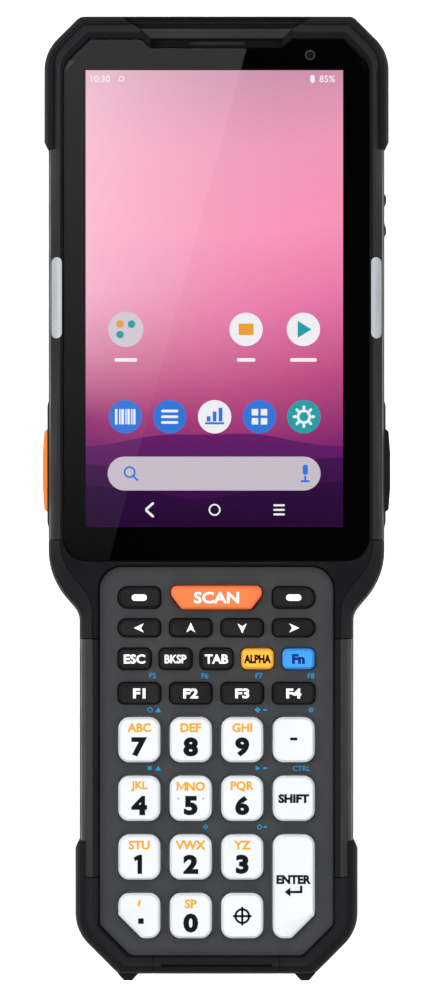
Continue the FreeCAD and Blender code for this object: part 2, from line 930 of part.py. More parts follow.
KEYS += [
    ("key_enter", COLUMNS[3], ENTER_ROW, wide, ENTER_HEIGHT, "enter"),
    ("key_point", COLUMNS[0], NUMBER_ROWS[3], wide, tall, "point"),
    ("key_0", COLUMNS[1], NUMBER_ROWS[3], wide, tall, "tall"),
    ("key_locate", COLUMNS[2], NUMBER_ROWS[3], wide, tall, "tall"),
]


def key_outline(key, grow):
    """A key's outline, grown all round."""
    _, x, y, width, height, shape = key
    grow = as_size(grow)
    right, left = x + width / 2 + grow, x - width / 2 - grow
    top, foot = y + height / 2 + grow, y - height / 2 - grow
    small = dim.key_corner_radius * 0.8 + grow
    if shape == "scan":
        step, lift = dim.scan_taper, dim.scan_height * 0.6
        return [
            (right, top, small),
            (right, foot + lift, small),
            (right - step, foot, small),
            (left + step, foot, small),
            (left, foot + lift, small),
            (left, top, small),
        ]
    large = dim.key_corner_radius * 1.5 + grow
    if shape in ("enter", "point"):
        bevel = dim.corner_cut
        corners = [(right, top, large)]
        if shape == "enter":
            corners += [(right, foot + bevel, small), (right - bevel, foot, small), (left, foot, large)]
        else:
            corners += [(right, foot, large), (left + bevel, foot, small), (left, foot + bevel, small)]
        return corners + [(left, top, large)]
    if shape == "tall":
        small = large
    end = (height / 2 + grow) * 0.96
    right_end = end if shape == "right_end" else small
    left_end = end if shape == "left_end" else small
    return [(right, top, right_end), (right, foot, right_end), (left, foot, left_end), (left, top, left_end)]


def key_body(key):
    """A moulded key: flange under the plate, cap with an eased top edge, post to its switch."""
    name, x, y, _, _, shape = key
    rise = dim.key_rise if shape in ("tall", "enter", "point", "scan") else dim.key_low_rise
    top = plate_top + rise
    body = new_body(name)
    pad(body, name + "_flange", key_outline(key, dim.key_flange), flange_low, flange_top)
    shoulder = (top - dim.key_edge, key_outline(key, 0))
    pad(body, name + "_cap", shoulder[1], flange_low, shoulder[0])
    loft(body, name + "_top", [shoulder, (top, key_outline(key, dim.key_edge * -0.8))])
    post_low = dome_top + dim.key_travel + dim.fit_gap / 2
    post = cylinder(name + "_post", dim.key_post_radius, flange_top - post_low, (x, y, post_low))
    return fuse(name + "_key", body, post)


key_holes, post_holes, domes = [], [], []
for key in KEYS:
    name, x, y = key[:3]
    node(name, key_body(key))
    key_holes.append(prism(name + "_hole", key_outline(key, dim.key_gap), plate_low - 1, ABOVE_ALL))
    post_holes.append(
        cylinder(name + "_post_hole", dim.key_post_radius + dim.key_post_gap, 6.0, (x, y, mat_low - 2))
    )
    domes.append(cylinder(name + "_dome", dim.dome_radius, dim.dome_height + 0.1, (x, y, board_top - 0.1)))

plate_blank = prism("Plate_blank", plate_outline(0), plate_low, plate_top)
keypad_plate = cut("Keypad_plate", plate_blank, *key_holes)
board_inset = -(dim.glass_ledge + dim.slide_gap)
keymat = cut("Keymat_cut", prism("Keymat", plate_outline(board_inset), mat_low, mat_top), *post_holes)
keypad_board = fuse(
    "Keypad_board", prism("Switch_board", plate_outline(board_inset), dim.deck_top, board_top), *domes
)
keypad_well = prism("Keypad_well", plate_outline(-dim.glass_ledge), dim.deck_top, ABOVE_ALL)

# Display, glass and front camera
display_low = glass_low - dim.display_thickness
display_glass = prism("Display_glass", glass_outline(0), glass_low, dim.glass_top)
display_module = display_box("Display_module", 0, display_low, glass_low)
front_camera = fuse(
    "Front_camera",
    box(
        "Camera_block",
        (camera_x - camera_half, camera_x + camera_half),
        (camera_y - camera_half, camera_y + camera_half),
        (dim.frame_seat, glass_low - 0.6),
    ),
    cylinder("Camera_barrel", 1.5, glass_low - dim.frame_seat - 0.1, (camera_x, camera_y, dim.frame_seat)),
)

# Inside of the two housing halves
hollow_form = terminal_form("Hollow_form", dim.wall, sloped=False)
scoop_profile = [
    (dim.scoop_head + dim.scoop_ramp, as_size(0)),
    (dim.scoop_head, dim.scoop_depth),
    (dim.scoop_foot, dim.scoop_depth),
    (dim.scoop_foot - dim.scoop_ramp, as_size(0)),
    (dim.scoop_foot - dim.scoop_ramp, as_size(-2)),
    (dim.scoop_head + dim.scoop_ramp, as_size(-2)),
]
scoop_corners = [
    (y, z, as_size(3.0)) if number in (1, 2) else (y, z) for number, (y, z) in enumerate(scoop_profile)
]
scoop = prism("Scoop", scoop_corners, -REACH, REACH, role="YZ_Plane")
scoop_floor_corners = [(y, z + dim.floor) for y, z in scoop_profile]
scoop_floor = prism("Scoop_floor", scoop_floor_corners, -REACH, REACH, role="YZ_Plane")
head_deck_low = display_low - dim.deck_thickness
grip_deck_low = dim.deck_top - dim.deck_thickness
rear_hollow = cut(
    "Rear_hollow",
    common(
        "Rear_hollow_form",
        hollow_form,
        box("Rear_hollow_block", (-REACH, REACH), (-FAR, FAR), (dim.floor, dim.parting_height + 1)),
    ),
    scoop_floor,
)
hollow_foot = dim.parting_height - 1
front_hollow = common(
    "Front_hollow",
    hollow_form,
    fuse(
        "Front_hollow_blocks",
        box("Front_hollow_head", (-REACH, REACH), (neck_high, FAR), (hollow_foot, head_deck_low)),
        box("Front_hollow_grip", (-REACH, REACH), (-FAR, neck_high + 1), (hollow_foot, grip_deck_low)),
    ),
)

# Screws and the bosses they run through
SCREWS = [
    (dim.head_screw_side * side, y)
    for y in (dim.head_screw_place, -dim.middle_screw_place)
    for side in (1, -1)
] + [(dim.foot_screw_side * side, -dim.foot_screw_place) for side in (1, -1)]
screw_seat = dim.bumper_bottom
rear_bosses, front_bosses, screw_bores, screws = [], [], [], []
for number, (x, y) in enumerate(SCREWS):
    rear_bosses.append(
        cylinder(f"Rear_boss_{number}", dim.boss_radius, dim.parting_height, (x, y, as_size(0)))
    )
    deck_over = head_deck_low if number < 4 else grip_deck_low
    front_bosses.append(
        cylinder(
            f"Front_boss_{number}",
            dim.boss_radius,
            deck_over + 0.5 - dim.parting_height,
            (x, y, dim.parting_height),
        )
    )
    gap = dim.fit_gap
    head = cylinder(f"Screw_head_{number}", dim.screw_head_radius, 1.4, (x, y, screw_seat - 1.4))
    shaft = cylinder(
        f"Screw_shaft_{number}", dim.screw_radius, dim.screw_end - screw_seat + 0.7, (x, y, screw_seat - 0.7)
    )
    socket = cylinder(f"Screw_drive_{number}", 0.9, 1.0, (x, y, screw_seat - 1.6))
    screws.append(cut(f"Screw_{number}", fuse(f"Screw_blank_{number}", head, shaft), socket))
    screw_bores.append(
        cylinder(f"Head_bore_{number}", dim.screw_head_radius + gap, screw_seat + 3, (x, y, as_size(-3)))
    )
    screw_bores.append(
        cylinder(f"Shaft_bore_{number}", dim.screw_radius + gap, dim.screw_end + 3.2, (x, y, as_size(-3)))
    )
screw_room = fuse("Screw_room", *screw_bores)
housing_screws = fuse("Housing_screws", *screws)

# Battery bay, its door with a hinge at the foot, and the sliding lock
gap = dim.slide_gap
door_foot = -dim.bay_foot
door_head = door_foot + dim.door_length
door_low = dim.door_recess
door_high = door_low + dim.door_thickness
axis_z = door_low + dim.door_barrel_radius
bay_half = dim.battery_width / 2 + 0.3
door_half = dim.door_width / 2
battery_low = door_high + gap + 0.1
battery_high = battery_low + dim.battery_thickness
battery_foot = door_foot + dim.door_barrel_radius + 0.4
battery_head = battery_foot + dim.battery_length
bay = box(
    "Bay",
    (-bay_half, bay_half),
    (battery_foot - 0.3, door_head + 0.3),
    (as_size(-2), battery_high + 0.3),
)
door_pocket = box(
    "Door_pocket",
    (-door_half - gap, door_half + gap),
    (door_foot - dim.door_barrel_radius - gap, door_head + 0.3),
    (as_size(-2), axis_z),
)
door_seat = box(
    "Door_seat",
    (-door_half - gap, door_half + gap),
    (door_foot, door_head + 0.3),
    (as_size(-2), door_high + gap),
)
barrel_pocket = cylinder(
    "Barrel_pocket",
    dim.door_barrel_radius + gap,
    dim.door_width + gap * 2,
    (-door_half - gap, door_foot, axis_z),
    ALONG_X,
)
door_pin_hole = cylinder(
    "Door_pin_hole",
    dim.door_pin_radius + 0.1,
    dim.door_width + 3.2,
    (door_half * -1 - 1.6, door_foot, axis_z),
    ALONG_X,
)
tub = box(
    "Tub",
    (-door_half - 1, door_half + 1),
    (door_foot - 2.6, door_head + 2.5),
    (as_size(0), dim.parting_height),
)
hinge_seat = box(
    "Hinge_seat",
    (-door_half - 2.3, door_half + 2.3),
    (door_foot - 2.6, door_foot + 2.6),
    (as_size(0), axis_z + 2.3),
)
lock_foot = -dim.lock_place - dim.lock_length / 2
lock_head = lock_foot + dim.lock_length
bolt_half = dim.bolt_width / 2
bolt_low = door_high + 1.1
bolt_high = bolt_low + dim.bolt_thickness
lock_seat = box(
    "Lock_seat", (as_size(-8), as_size(8)), (door_head + 2, lock_head + 3), (as_size(0), bolt_low - gap)
)
lock_recess = box(
    "Lock_recess",
    (dim.lock_width / -2 - gap, dim.lock_width / 2 + gap),
    (lock_foot - dim.lock_travel - 0.3, lock_head + 0.3),
    (as_size(-2), as_size(1.5)),
)
lock_slot = box(
    "Lock_slot",
    (-bolt_half - gap, bolt_half + gap),
    (lock_foot + 1.5 - dim.lock_travel - gap, lock_head - 1.5 + gap),
    (as_size(-2), bolt_low + 1),
)
bolt_hole = box(
    "Bolt_hole",
    (-bolt_half - gap, bolt_half + gap),
    (door_head - 0.5, door_head + 3),
    (bolt_low - gap, bolt_high + gap),
)
battery_lock = fuse(
    "Battery_lock",
    box(
        "Lock_slider",
        (dim.lock_width / -2, dim.lock_width / 2),
        (lock_foot, lock_head),
        (door_low, as_size(1.3)),
    ),
    *(
        box(
            f"Lock_rib_{number}",
            (dim.lock_width * -0.35, dim.lock_width * 0.35),
            (lock_foot + 1.1 + number * 1.5, lock_foot + 1.8 + number * 1.5),
            (door_low - 0.25, as_size(1.0)),
        )
        for number in range(3)
    ),
    box(
        "Lock_neck",
        (-bolt_half, bolt_half),
        (lock_foot + 1.5, lock_head - 1.5),
        (as_size(1.0), bolt_low + 0.2),
    ),
    box("Lock_bolt", (-bolt_half, bolt_half), (door_head + 0.6, lock_head), (bolt_low, bolt_high)),
)
upstand = cut(
    "Door_upstand",
    box(
        "Door_upstand_block",
        (-bolt_half - 2, bolt_half + 2),
        (door_head - 2.7, door_head - 0.2),
        (door_low, bolt_high + 0.8),
    ),
    box(
        "Door_bolt_pocket",
        (-bolt_half - 0.3, bolt_half + 0.3),
        (door_head - 5, door_head + 5),
        (bolt_low - 0.3, bolt_high + 0.3),
    ),
)
door_ribs = [
    box(
        f"Door_rib_{number}",
        (door_half * -0.6, door_half * 0.6),
        (door_head - 7.0 - number * 1.8, door_head - 6.2 - number * 1.8),
        (as_size(0.05), door_low + 0.5),
    )
    for number in range(4)
]
battery_door = fuse(
    "Battery_door",
    box("Door_plate", (-door_half, door_half), (door_foot, door_head), (door_low, door_high)),
    upstand,
    *door_ribs,
    cylinder(
        "Door_barrel", dim.door_barrel_radius, dim.door_width, (-door_half, door_foot, axis_z), ALONG_X
    ),
    cylinder(
        "Door_pin",
        dim.door_pin_radius,
        dim.door_width + 2.4,
        (-door_half - 1.2, door_foot, axis_z),
        ALONG_X,
    ),
)
battery_half = dim.battery_width / 2
battery_corners = [
    (battery_half, battery_head, as_size(2)),
    (battery_half, battery_foot, as_size(2)),
    (-battery_half, battery_foot, as_size(2)),
    (-battery_half, battery_head, as_size(2)),
]
battery_pack = prism("Battery_pack", battery_corners, battery_low, battery_high)
contact_hole = box(
    "Contact_hole",
    (as_size(-6.5), as_size(6.5)),
    (battery_head - 7.5, battery_head - 2.5),
    (battery_high, dim.main_board_height),
)

# Main board with its parts
board_low = dim.main_board_height
board_high = board_low + dim.main_board_thickness
switch_x = dim.head_width / 2 - dim.wall - dim.slide_gap - dim.trigger_flange - dim.trigger_travel - 0.3
board_outline = mirrored(
    [
        (as_size(25.5), as_size(80)),
        (as_size(25.5), as_size(66)),
        (switch_x, as_size(66)),
        (switch_x, as_size(-2)),
        (as_size(25.5), as_size(-2)),
        (as_size(25.5), as_size(-8)),
        (as_size(22), as_size(-12)),
        (as_size(22), as_size(-88)),
        (as_size(10), as_size(-88)),
        (as_size(10), as_size(-96)),
    ]
)


def board_block(name, x, y, z):
    """A block on the board, from plain numbers in plan."""
    return box(name, (as_size(x[0]), as_size(x[1])), (as_size(y[0]), as_size(y[1])), z)


shield_heights = (board_high - 0.1, board_high + 1.6)
switch_depth = as_size(2.5)
side_switches = [
    box(f"Side_switch_{number}", ends, (y - 2, y + 2), (board_high - 0.1, board_high + 2.4))
    for number, (ends, y) in enumerate(
        (
            ((switch_x - switch_depth, switch_x), dim.trigger_place),
            ((-switch_x, switch_depth - switch_x), dim.trigger_place),
            ((switch_x - switch_depth, switch_x), dim.rocker_place + 3),
            ((switch_x - switch_depth, switch_x), dim.rocker_place - 3),
        )
    )
]
main_board = fuse(
    "Main_board",
    prism("Board_plate", board_outline, board_low, board_high),
    board_block("Shield_head", (-18, 14), (44, 76), shield_heights),
    board_block("Shield_foot", (-18, 16), (2, 38), shield_heights),
    board_block("Radio_shield", (-16, 16), (-60, -30), shield_heights),
    box(
        "Battery_contacts",
        (as_size(-6), as_size(6)),
        (battery_head - 7, battery_head - 3),
        (battery_high + 0.1, board_low + 0.1),
    ),
    *side_switches,
)
socket_low = board_low - 3.3
usb_outer = board_block("Socket_shell", (-4.5, 4.5), (-98, -90.6), (socket_low, board_low - 0.05))
usb_bore = board_block("Socket_bore", (-4.1, 4.1), (-99, -91.2), (socket_low + 0.4, board_low - 0.45))
usb_tongue = board_block("Socket_tongue", (-3.2, 3.2), (-96.8, -91), (socket_low + 1.3, board_low - 1.3))
usb_socket = fuse("Usb_socket", cut("Socket_mouth", usb_outer, usb_bore), usb_tongue)
usb_hole = board_block("Usb_hole", (-4.8, 4.8), (-FAR, -90), (socket_low - 0.2, board_low + 0.2))
standoffs = [
    cylinder(f"Standoff_{x}_{y}", 1.8, board_low - 1, (as_size(x), as_size(y), as_size(1)))
    for x in (-22, 22)
    for y in (10, 56)
]

# Scanner: engine on its seat, window in the end wall
engine_low = dim.window_middle_height - dim.engine_height / 2
engine_high = engine_low + dim.engine_height
engine_half = dim.engine_width / 2
window_inner = dim.housing_top - 1.7
engine_front = window_inner - 1.6
lens_height = dim.window_middle_height
scan_engine = fuse(
    "Scan_engine",
    box(
        "Engine_block",
        (-engine_half, engine_half),
        (engine_front - dim.engine_depth, engine_front),
        (engine_low, engine_high),
    ),
    cylinder("Engine_lens", 3.2, 0.8, (as_size(4.5), engine_front, lens_height), ALONG_Y),
    cylinder("Engine_aimer", 1.6, 0.5, (as_size(-2.5), engine_front, lens_height), ALONG_Y),
    box(
        "Engine_lamp",
        (as_size(-9.5), as_size(-5.5)),
        (engine_front - 0.1, engine_front + 0.4),
        (lens_height - 3, lens_height + 3),
    ),
)
engine_seat = box(
    "Engine_seat",
    (as_size(-9), as_size(9)),
    (engine_front - dim.engine_depth + 1, engine_front - 1),
    (as_size(1), engine_low),
)
scan_window = box(
    "Scan_window",
    (-window_half, window_half),
    (window_inner, window_inner + dim.window_thickness),
    (window_low, window_high),
)
window_seat = box(
    "Window_seat",
    (-window_half - dim.fit_gap, window_half + dim.fit_gap),
    (window_inner, FAR),
    (window_low - dim.fit_gap, window_high + dim.fit_gap),
)
window_opening = box(
    "Window_opening",
    (-window_half + 1, window_half - 1),
    (engine_front - 2, FAR),
    (window_low + 1, window_high - 1),
)

# Loudspeaker behind its grille in the hollow of the back
speaker_low = dim.scoop_depth + dim.floor
loudspeaker = cylinder(
    "Loudspeaker", dim.speaker_radius, dim.speaker_thickness, (as_size(0), dim.speaker_place, speaker_low)
)
grille_spots = [(0, 0)] + [(3.0, 60 * n) for n in range(6)] + [(5.8, 30 * n) for n in range(12)]
grille = [
    cylinder(
        f"Grille_{n}",
        0.55,
        8.0,
        (
            as_size(ring * math.cos(math.radians(angle))),
            dim.speaker_place + ring * math.sin(math.radians(angle)),
            as_size(0),
        ),
    )
    for n, (ring, angle) in enumerate(grille_spots)
]

# Triggers and volume rocker in the side walls
side_face = dim.head_width / 2
flange_outer = side_face - dim.wall - dim.slide_gap
trigger_half = dim.trigger_length / 2
trigger_z = (
    dim.trigger_middle_height - dim.trigger_height / 2,
    dim.trigger_middle_height + dim.trigger_height / 2,
)


def trigger(name, side):
    """A side trigger: flange inside the wall, cap outside it with a raised middle."""
    middle, ridge_half = dim.trigger_place, dim.trigger_ridge_length / 2
    inner, outer = flange_outer - 0.1, side_face + dim.trigger_proud
    crest = outer + dim.trigger_ridge_proud
    cap = [
        (outer * side, middle + trigger_half - 0.8),
        (crest * side, middle + ridge_half),
        (crest * side, middle - ridge_half),
        (outer * side, middle - trigger_half + 0.8),
        ((outer - 0.9) * side, middle - trigger_half),
        (inner * side, middle - trigger_half),
        (inner * side, middle + trigger_half),
        ((outer - 0.9) * side, middle + trigger_half),
    ]
    edge = dim.trigger_flange
    x_ends = (flange_outer - edge, flange_outer) if side > 0 else (-flange_outer, edge - flange_outer)
    return fuse(
        name,
        prism(name + "_cap", cap, *trigger_z),
        box(
            name + "_flange",
            x_ends,
            (middle - trigger_half - edge, middle + trigger_half + edge),
            (trigger_z[0] - edge, trigger_z[1] + edge),
        ),
    )


trigger_left, trigger_right = trigger("Trigger_left", -1), trigger("Trigger_right", 1)
trigger_holes = box(
    "Trigger_holes",
    (-REACH, REACH),
    (dim.trigger_place - trigger_half - gap, dim.trigger_place + trigger_half + gap),
    (trigger_z[0] - gap, trigger_z[1] + gap),
)
trigger_bulges = prism(
    "Trigger_bulges",
    mirrored(
        [
            (side_face - 1, as_size(20.5)),
            (side_face, as_size(20.5)),
            (side_face + 0.27, as_size(19.4)),
            (side_face + 0.27, as_size(-5.2)),
            (side_face, as_size(-6.3)),
            (side_face - 1, as_size(-6.3)),
        ]
    ),
    dim.parting_height + 0.3,
    dim.side_top - 0.2,
)
bulge_core = box("Bulge_core", (1 - side_face, side_face - 1), (-FAR, FAR), (as_size(0), ABOVE_ALL))
rocker_half = dim.rocker_length / 2
rocker_low = dim.trigger_middle_height - dim.rocker_height / 2
rocker_high = rocker_low + dim.rocker_height
rocker_axis_x = side_face - 1.2
rocker_profile = [
    (side_face, dim.rocker_place + rocker_half),
    (side_face + dim.rocker_bump, dim.rocker_place + rocker_half - 0.7),
    (side_face + dim.rocker_bump, dim.rocker_place + rocker_half - 1.9),
    (side_face, dim.rocker_place + rocker_half - 3.0),
    (side_face, dim.rocker_place - rocker_half + 3.0),
    (side_face + dim.rocker_bump, dim.rocker_place - rocker_half + 1.9),
    (side_face + dim.rocker_bump, dim.rocker_place - rocker_half + 0.7),
    (side_face, dim.rocker_place - rocker_half),
    (side_face - 2.0, dim.rocker_place - rocker_half),
    (side_face - 2.0, dim.rocker_place + rocker_half),
]
volume_rocker = fuse(
    "Volume_rocker",
    prism("Rocker_cap", rocker_profile, rocker_low, rocker_high),
    cylinder(
        "Rocker_pin",
        dim.rocker_pin_radius,
        dim.rocker_height + 1.6,
        (rocker_axis_x, dim.rocker_place, rocker_low - 0.8),
    ),
)
rocker_hole = box(
    "Rocker_hole",
    (side_face - 4, REACH),
    (dim.rocker_place - rocker_half - 0.3, dim.rocker_place + rocker_half + 0.3),
    (rocker_low - gap, rocker_high + gap),
)
rocker_pin_hole = cylinder(
    "Rocker_pin_hole",
    dim.rocker_pin_radius + 0.1,
    dim.rocker_height + 2.0,
    (rocker_axis_x, dim.rocker_place, rocker_low - 1.0),
)

# The two housing halves
rear_slab = box("Rear_slab", (-REACH, REACH), (-FAR, FAR), (as_size(-1), dim.parting_height))
rear_blocks = fuse("Rear_blocks", *rear_bosses, tub, hinge_seat, lock_seat, engine_seat)
rear_inside = common("Rear_inside", sunk_form, rear_slab, rear_blocks)
rear_shell = cut("Rear_shell", common("Rear_shell_form", sunk_form, rear_slab), rear_hollow)
rear_housing = cut(
    "Rear_housing",
    fuse("Rear_joined", rear_shell, rear_inside, *standoffs),
    scoop,
    bay,
    door_pocket,
    door_seat,
    barrel_pocket,
    door_pin_hole,
    lock_recess,
    lock_slot,
    bolt_hole,
    contact_hole,
    screw_room,
    window_seat,
    window_opening,
    usb_hole,
    *grille,
)
middle_slab = box("Middle_slab", (-REACH, REACH), (-FAR, FAR), (dim.parting_height, dim.frame_seat))
front_form = common("Front_form", sunk_form, middle_slab)
front_inside = common("Front_inside", front_form, fuse("Front_bosses", *front_bosses))
front_housing = cut(
    "Front_housing",
    fuse(
        "Front_joined",
        cut("Front_shell", front_form, front_hollow),
        front_inside,
        cut("Side_bulges", trigger_bulges, bulge_core),
    ),
    display_box("Display_seat", gap, display_low, ABOVE_ALL),
    keypad_well,
    trigger_holes,
    rocker_hole,
    rocker_pin_hole,
    screw_room,
    window_seat,
    window_opening,
    usb_hole,
)

for name, feature in (
    ("front_housing", front_housing),
    ("rear_housing", rear_housing),
    ("head_bumper", head_bumper),
    ("foot_bumper", foot_bumper),
    ("neck_guards", neck_guards),
    ("head_frame", head_frame),
    ("neck_bezel", neck_bezel),
    ("grip_rails", grip_rails),
    ("earpiece_bar", speaker_bar),
    ("display_glass", display_glass),
    ("display_module", display_module),
    ("keypad_plate", keypad_plate),
    ("keymat", keymat),
    ("keypad_board", keypad_board),
    ("main_board", main_board),
    ("scan_engine", scan_engine),
    ("scan_window", scan_window),
    ("front_camera", front_camera),
    ("loudspeaker", loudspeaker),
    ("battery_pack", battery_pack),
    ("housing_screws", housing_screws),
    ("light_pipes", light_pipes),
    ("usb_socket", usb_socket),
    ("trigger_left", trigger_left),
    ("trigger_right", trigger_right),
    ("volume_rocker", volume_rocker),
    ("battery_door", battery_door),
    ("battery_lock", battery_lock),
    ("port_cover", port_cover),
):
    node(name, feature)

doc.recompute()
for item in doc.Objects:
    if "Invalid" in item.State or "Error" in item.State:
        raise RuntimeError(f"{item.Name} did not build: {item.State}")
os.makedirs("parts", exist_ok=True)
for name, feature in nodes.items():
    shape = feature.Shape
    if shape.isNull() or not shape.isValid():
        raise RuntimeError(f"{name} has no sound shape")
    shape.exportStep(f"parts/{name}.step")
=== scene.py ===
"""Looks of the portable barcode data terminal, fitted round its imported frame. Sizes in metres."""
import math

import bmesh
import bpy
from mathutils import Matrix, Vector


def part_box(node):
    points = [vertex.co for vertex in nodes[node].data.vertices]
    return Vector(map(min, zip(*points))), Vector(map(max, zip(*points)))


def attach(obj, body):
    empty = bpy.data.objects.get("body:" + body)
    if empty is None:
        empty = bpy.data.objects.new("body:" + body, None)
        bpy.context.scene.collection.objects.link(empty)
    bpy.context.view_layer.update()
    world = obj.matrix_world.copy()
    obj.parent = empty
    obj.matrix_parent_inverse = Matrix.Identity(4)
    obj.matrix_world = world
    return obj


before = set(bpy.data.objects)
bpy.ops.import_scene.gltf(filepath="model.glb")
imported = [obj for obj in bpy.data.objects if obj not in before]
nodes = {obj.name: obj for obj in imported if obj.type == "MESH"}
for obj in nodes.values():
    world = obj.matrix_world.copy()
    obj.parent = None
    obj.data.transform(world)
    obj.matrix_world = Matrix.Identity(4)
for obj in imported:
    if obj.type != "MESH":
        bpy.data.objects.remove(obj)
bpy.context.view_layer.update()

mm = 0.001

# Floor, light and camera.
# A white table under the terminal, soft lights all round it, and two cards high above: a
# pale one on the left that the display glass mirrors as a slanting patch, and a dark one
# over it that keeps the rest of the glass black.
scene = bpy.context.scene
scene.view_settings.view_transform = "Standard"


def add_object(name, mesh):
    """A mesh as an object at the origin."""
    thing = bpy.data.objects.new(name, mesh)
    scene.collection.objects.link(thing)
    return thing


class Value:
    """A shader socket that plain arithmetic can be written on."""

    def __init__(self, finish, socket):
        self.finish, self.socket = finish, socket

    def _math(self, operation, first, second):
        return self.finish.node("ShaderNodeMath", {"operation": operation}, first, second)

    def __add__(self, other):
        return self._math("ADD", self, other)

    def __radd__(self, other):
        return self._math("ADD", other, self)

    def __sub__(self, other):
        return self._math("SUBTRACT", self, other)

    def __rsub__(self, other):
        return self._math("SUBTRACT", other, self)

    def __mul__(self, other):
        return self._math("MULTIPLY", self, other)

    def __rmul__(self, other):
        return self._math("MULTIPLY", other, self)


class Finish:
    """A material under construction."""

    def __init__(self, name):
        self.material = bpy.data.materials.new(name)
        self.material.use_nodes = True
        self.tree = self.material.node_tree
        self.tree.nodes.clear()

    def node(self, kind, settings, *plugs, outlet=0, **sockets):
        """Adds a node: its settings first, then its sockets by place or by name."""
        made = self.tree.nodes.new(kind)
        for key, setting in settings.items():
            if key == "stops":
                stops = made.color_ramp.elements
                while len(stops) < len(setting):
                    stops.new(0.5)
                for stop, (place, colour) in zip(stops, setting):
                    stop.position, stop.color = place, (*colour, 1.0)
            else:
                setattr(made, key, setting)
        pairs = list(enumerate(plugs)) + [(k.replace("_", " "), v) for k, v in sockets.items()]
        for key, plug in pairs:
            if isinstance(plug, Value):
                self.tree.links.new(plug.socket, made.inputs[key])
            elif plug is not None:
                made.inputs[key].default_value = plug
        return Value(self, made.outputs[outlet]) if made.outputs else None

    def place(self):
        """Object coordinates."""
        return self.node("ShaderNodeTexCoord", {}, outlet="Object")

    def noise(self, size, detail=2.0):
        """Noise with blobs of a given size in metres."""
        return self.node(
            "ShaderNodeTexNoise",
            {},
            Vector=self.place(),
            Scale=1.0 / size,
            Detail=detail,
            Roughness=0.55,
        )

    def blend(self, amount, first, second):
        """One colour fading into another."""
        made = self.tree.nodes.new("ShaderNodeMix")
        made.data_type = "RGBA"
        for key, plug in ((0, amount), (6, first), (7, second)):
            if isinstance(plug, Value):
                self.tree.links.new(plug.socket, made.inputs[key])
            else:
                made.inputs[key].default_value = plug if key == 0 else (*plug, 1.0)
        return Value(self, made.outputs[2])

    def bump(self, height, depth):
        """A bumpy normal from a height field of a given depth in metres."""
        return self.node("ShaderNodeBump", {}, Height=height, Distance=depth, Strength=1.0)

    def done(self, **sockets):
        """Closes the material with a Principled shader."""
        shader = self.node("ShaderNodeBsdfPrincipled", {}, **sockets)
        self.node("ShaderNodeOutputMaterial", {}, shader)
        return self.material


def plain(colour):
    """An RGBA value."""
    return (*colour, 1.0)


table_half = 4.0
table_drop = 0.1 * mm
table_finish = Finish("table_top")
grit = table_finish.noise(4.0 * mm)
table_top = table_finish.done(
    Base_Color=table_finish.blend(grit, (0.90, 0.90, 0.90), (0.93, 0.93, 0.93)),
    Roughness=0.85,
    Emission_Color=plain((1.0, 1.0, 1.0)),
    Emission_Strength=0.45,
)
bm = bmesh.new()
bmesh.ops.create_grid(
    bm, x_segments=1, y_segments=1, size=table_half, matrix=Matrix.Translation((0, 0, -table_drop))
)
floor_mesh = bpy.data.meshes.new("table_top")
bm.to_mesh(floor_mesh)
bm.free()
floor = add_object("table_top", floor_mesh)
floor_mesh.materials.append(table_top)

fade_foot, fade_head = -0.04, 0.26
glow_foot, glow_head = 0.12, 0.85
card_finish = Finish("light_card")
headward = card_finish.node("ShaderNodeSeparateXYZ", {}, card_finish.place(), outlet="Y")
card_fade = card_finish.node(
    "ShaderNodeMapRange", {}, headward, fade_foot, fade_head, glow_foot, glow_head
)
card_light = card_finish.node(
    "ShaderNodeBsdfPrincipled",
    {},
    Base_Color=plain((0.0, 0.0, 0.0)),
    Specular_IOR_Level=0.0,
    Roughness=1.0,
    Emission_Color=card_finish.blend(card_fade, (0.0, 0.0, 0.0), (1.0, 1.0, 1.0)),
    Emission_Strength=1.0,
)
card_finish.node("ShaderNodeOutputMaterial", {}, card_light)
dark_finish = Finish("dark_card")
felt = dark_finish.noise(0.02)
dark_felt = dark_finish.done(
    Base_Color=dark_finish.blend(felt, (0.002, 0.002, 0.002), (0.003, 0.003, 0.003)), Roughness=1.0
)
light_corners = ((0.108, 0.60), (-0.134, -0.30), (-0.62, -0.30), (-0.62, 0.60))
dark_corners = ((0.45, 0.75), (0.45, -0.60), (-0.70, -0.60), (-0.70, 0.75))
for name, material, height, corners in (
    ("light_card", card_finish.material, 1.60, light_corners),
    ("dark_card", dark_felt, 1.66, dark_corners),
):
    bm = bmesh.new()
    for x, y in corners:
        bm.verts.new((x, y, height))
    bm.faces.new(bm.verts)
    card_mesh = bpy.data.meshes.new(name)
    bm.to_mesh(card_mesh)
    bm.free()
    card = add_object(name, card_mesh)
    card_mesh.materials.append(material)

softbox_side = 0.7
for name, place, power in (
    ("side_light_left", (-0.95, 0.15, 0.75), 13.0),
    ("side_light_right", (0.95, -0.05, 0.75), 8.0),
    ("head_light", (0.10, 1.05, 0.85), 12.0),
    ("foot_light", (0.0, -1.15, 0.90), 12.0),
):
    lamp = bpy.data.lights.new(name, "AREA")
    lamp.shape, lamp.size, lamp.energy = "SQUARE", softbox_side, power
    light = bpy.data.objects.new(name, lamp)
    scene.collection.objects.link(light)
    light.location = place
    light.rotation_euler = (-Vector(place)).to_track_quat("-Z", "Y").to_euler()

world = bpy.data.worlds.new("studio")
scene.world = world
world.use_nodes = True
backdrop = world.node_tree.nodes["Background"].inputs
backdrop["Color"].default_value = plain((1.0, 1.0, 1.0))
backdrop["Strength"].default_value = 0.16

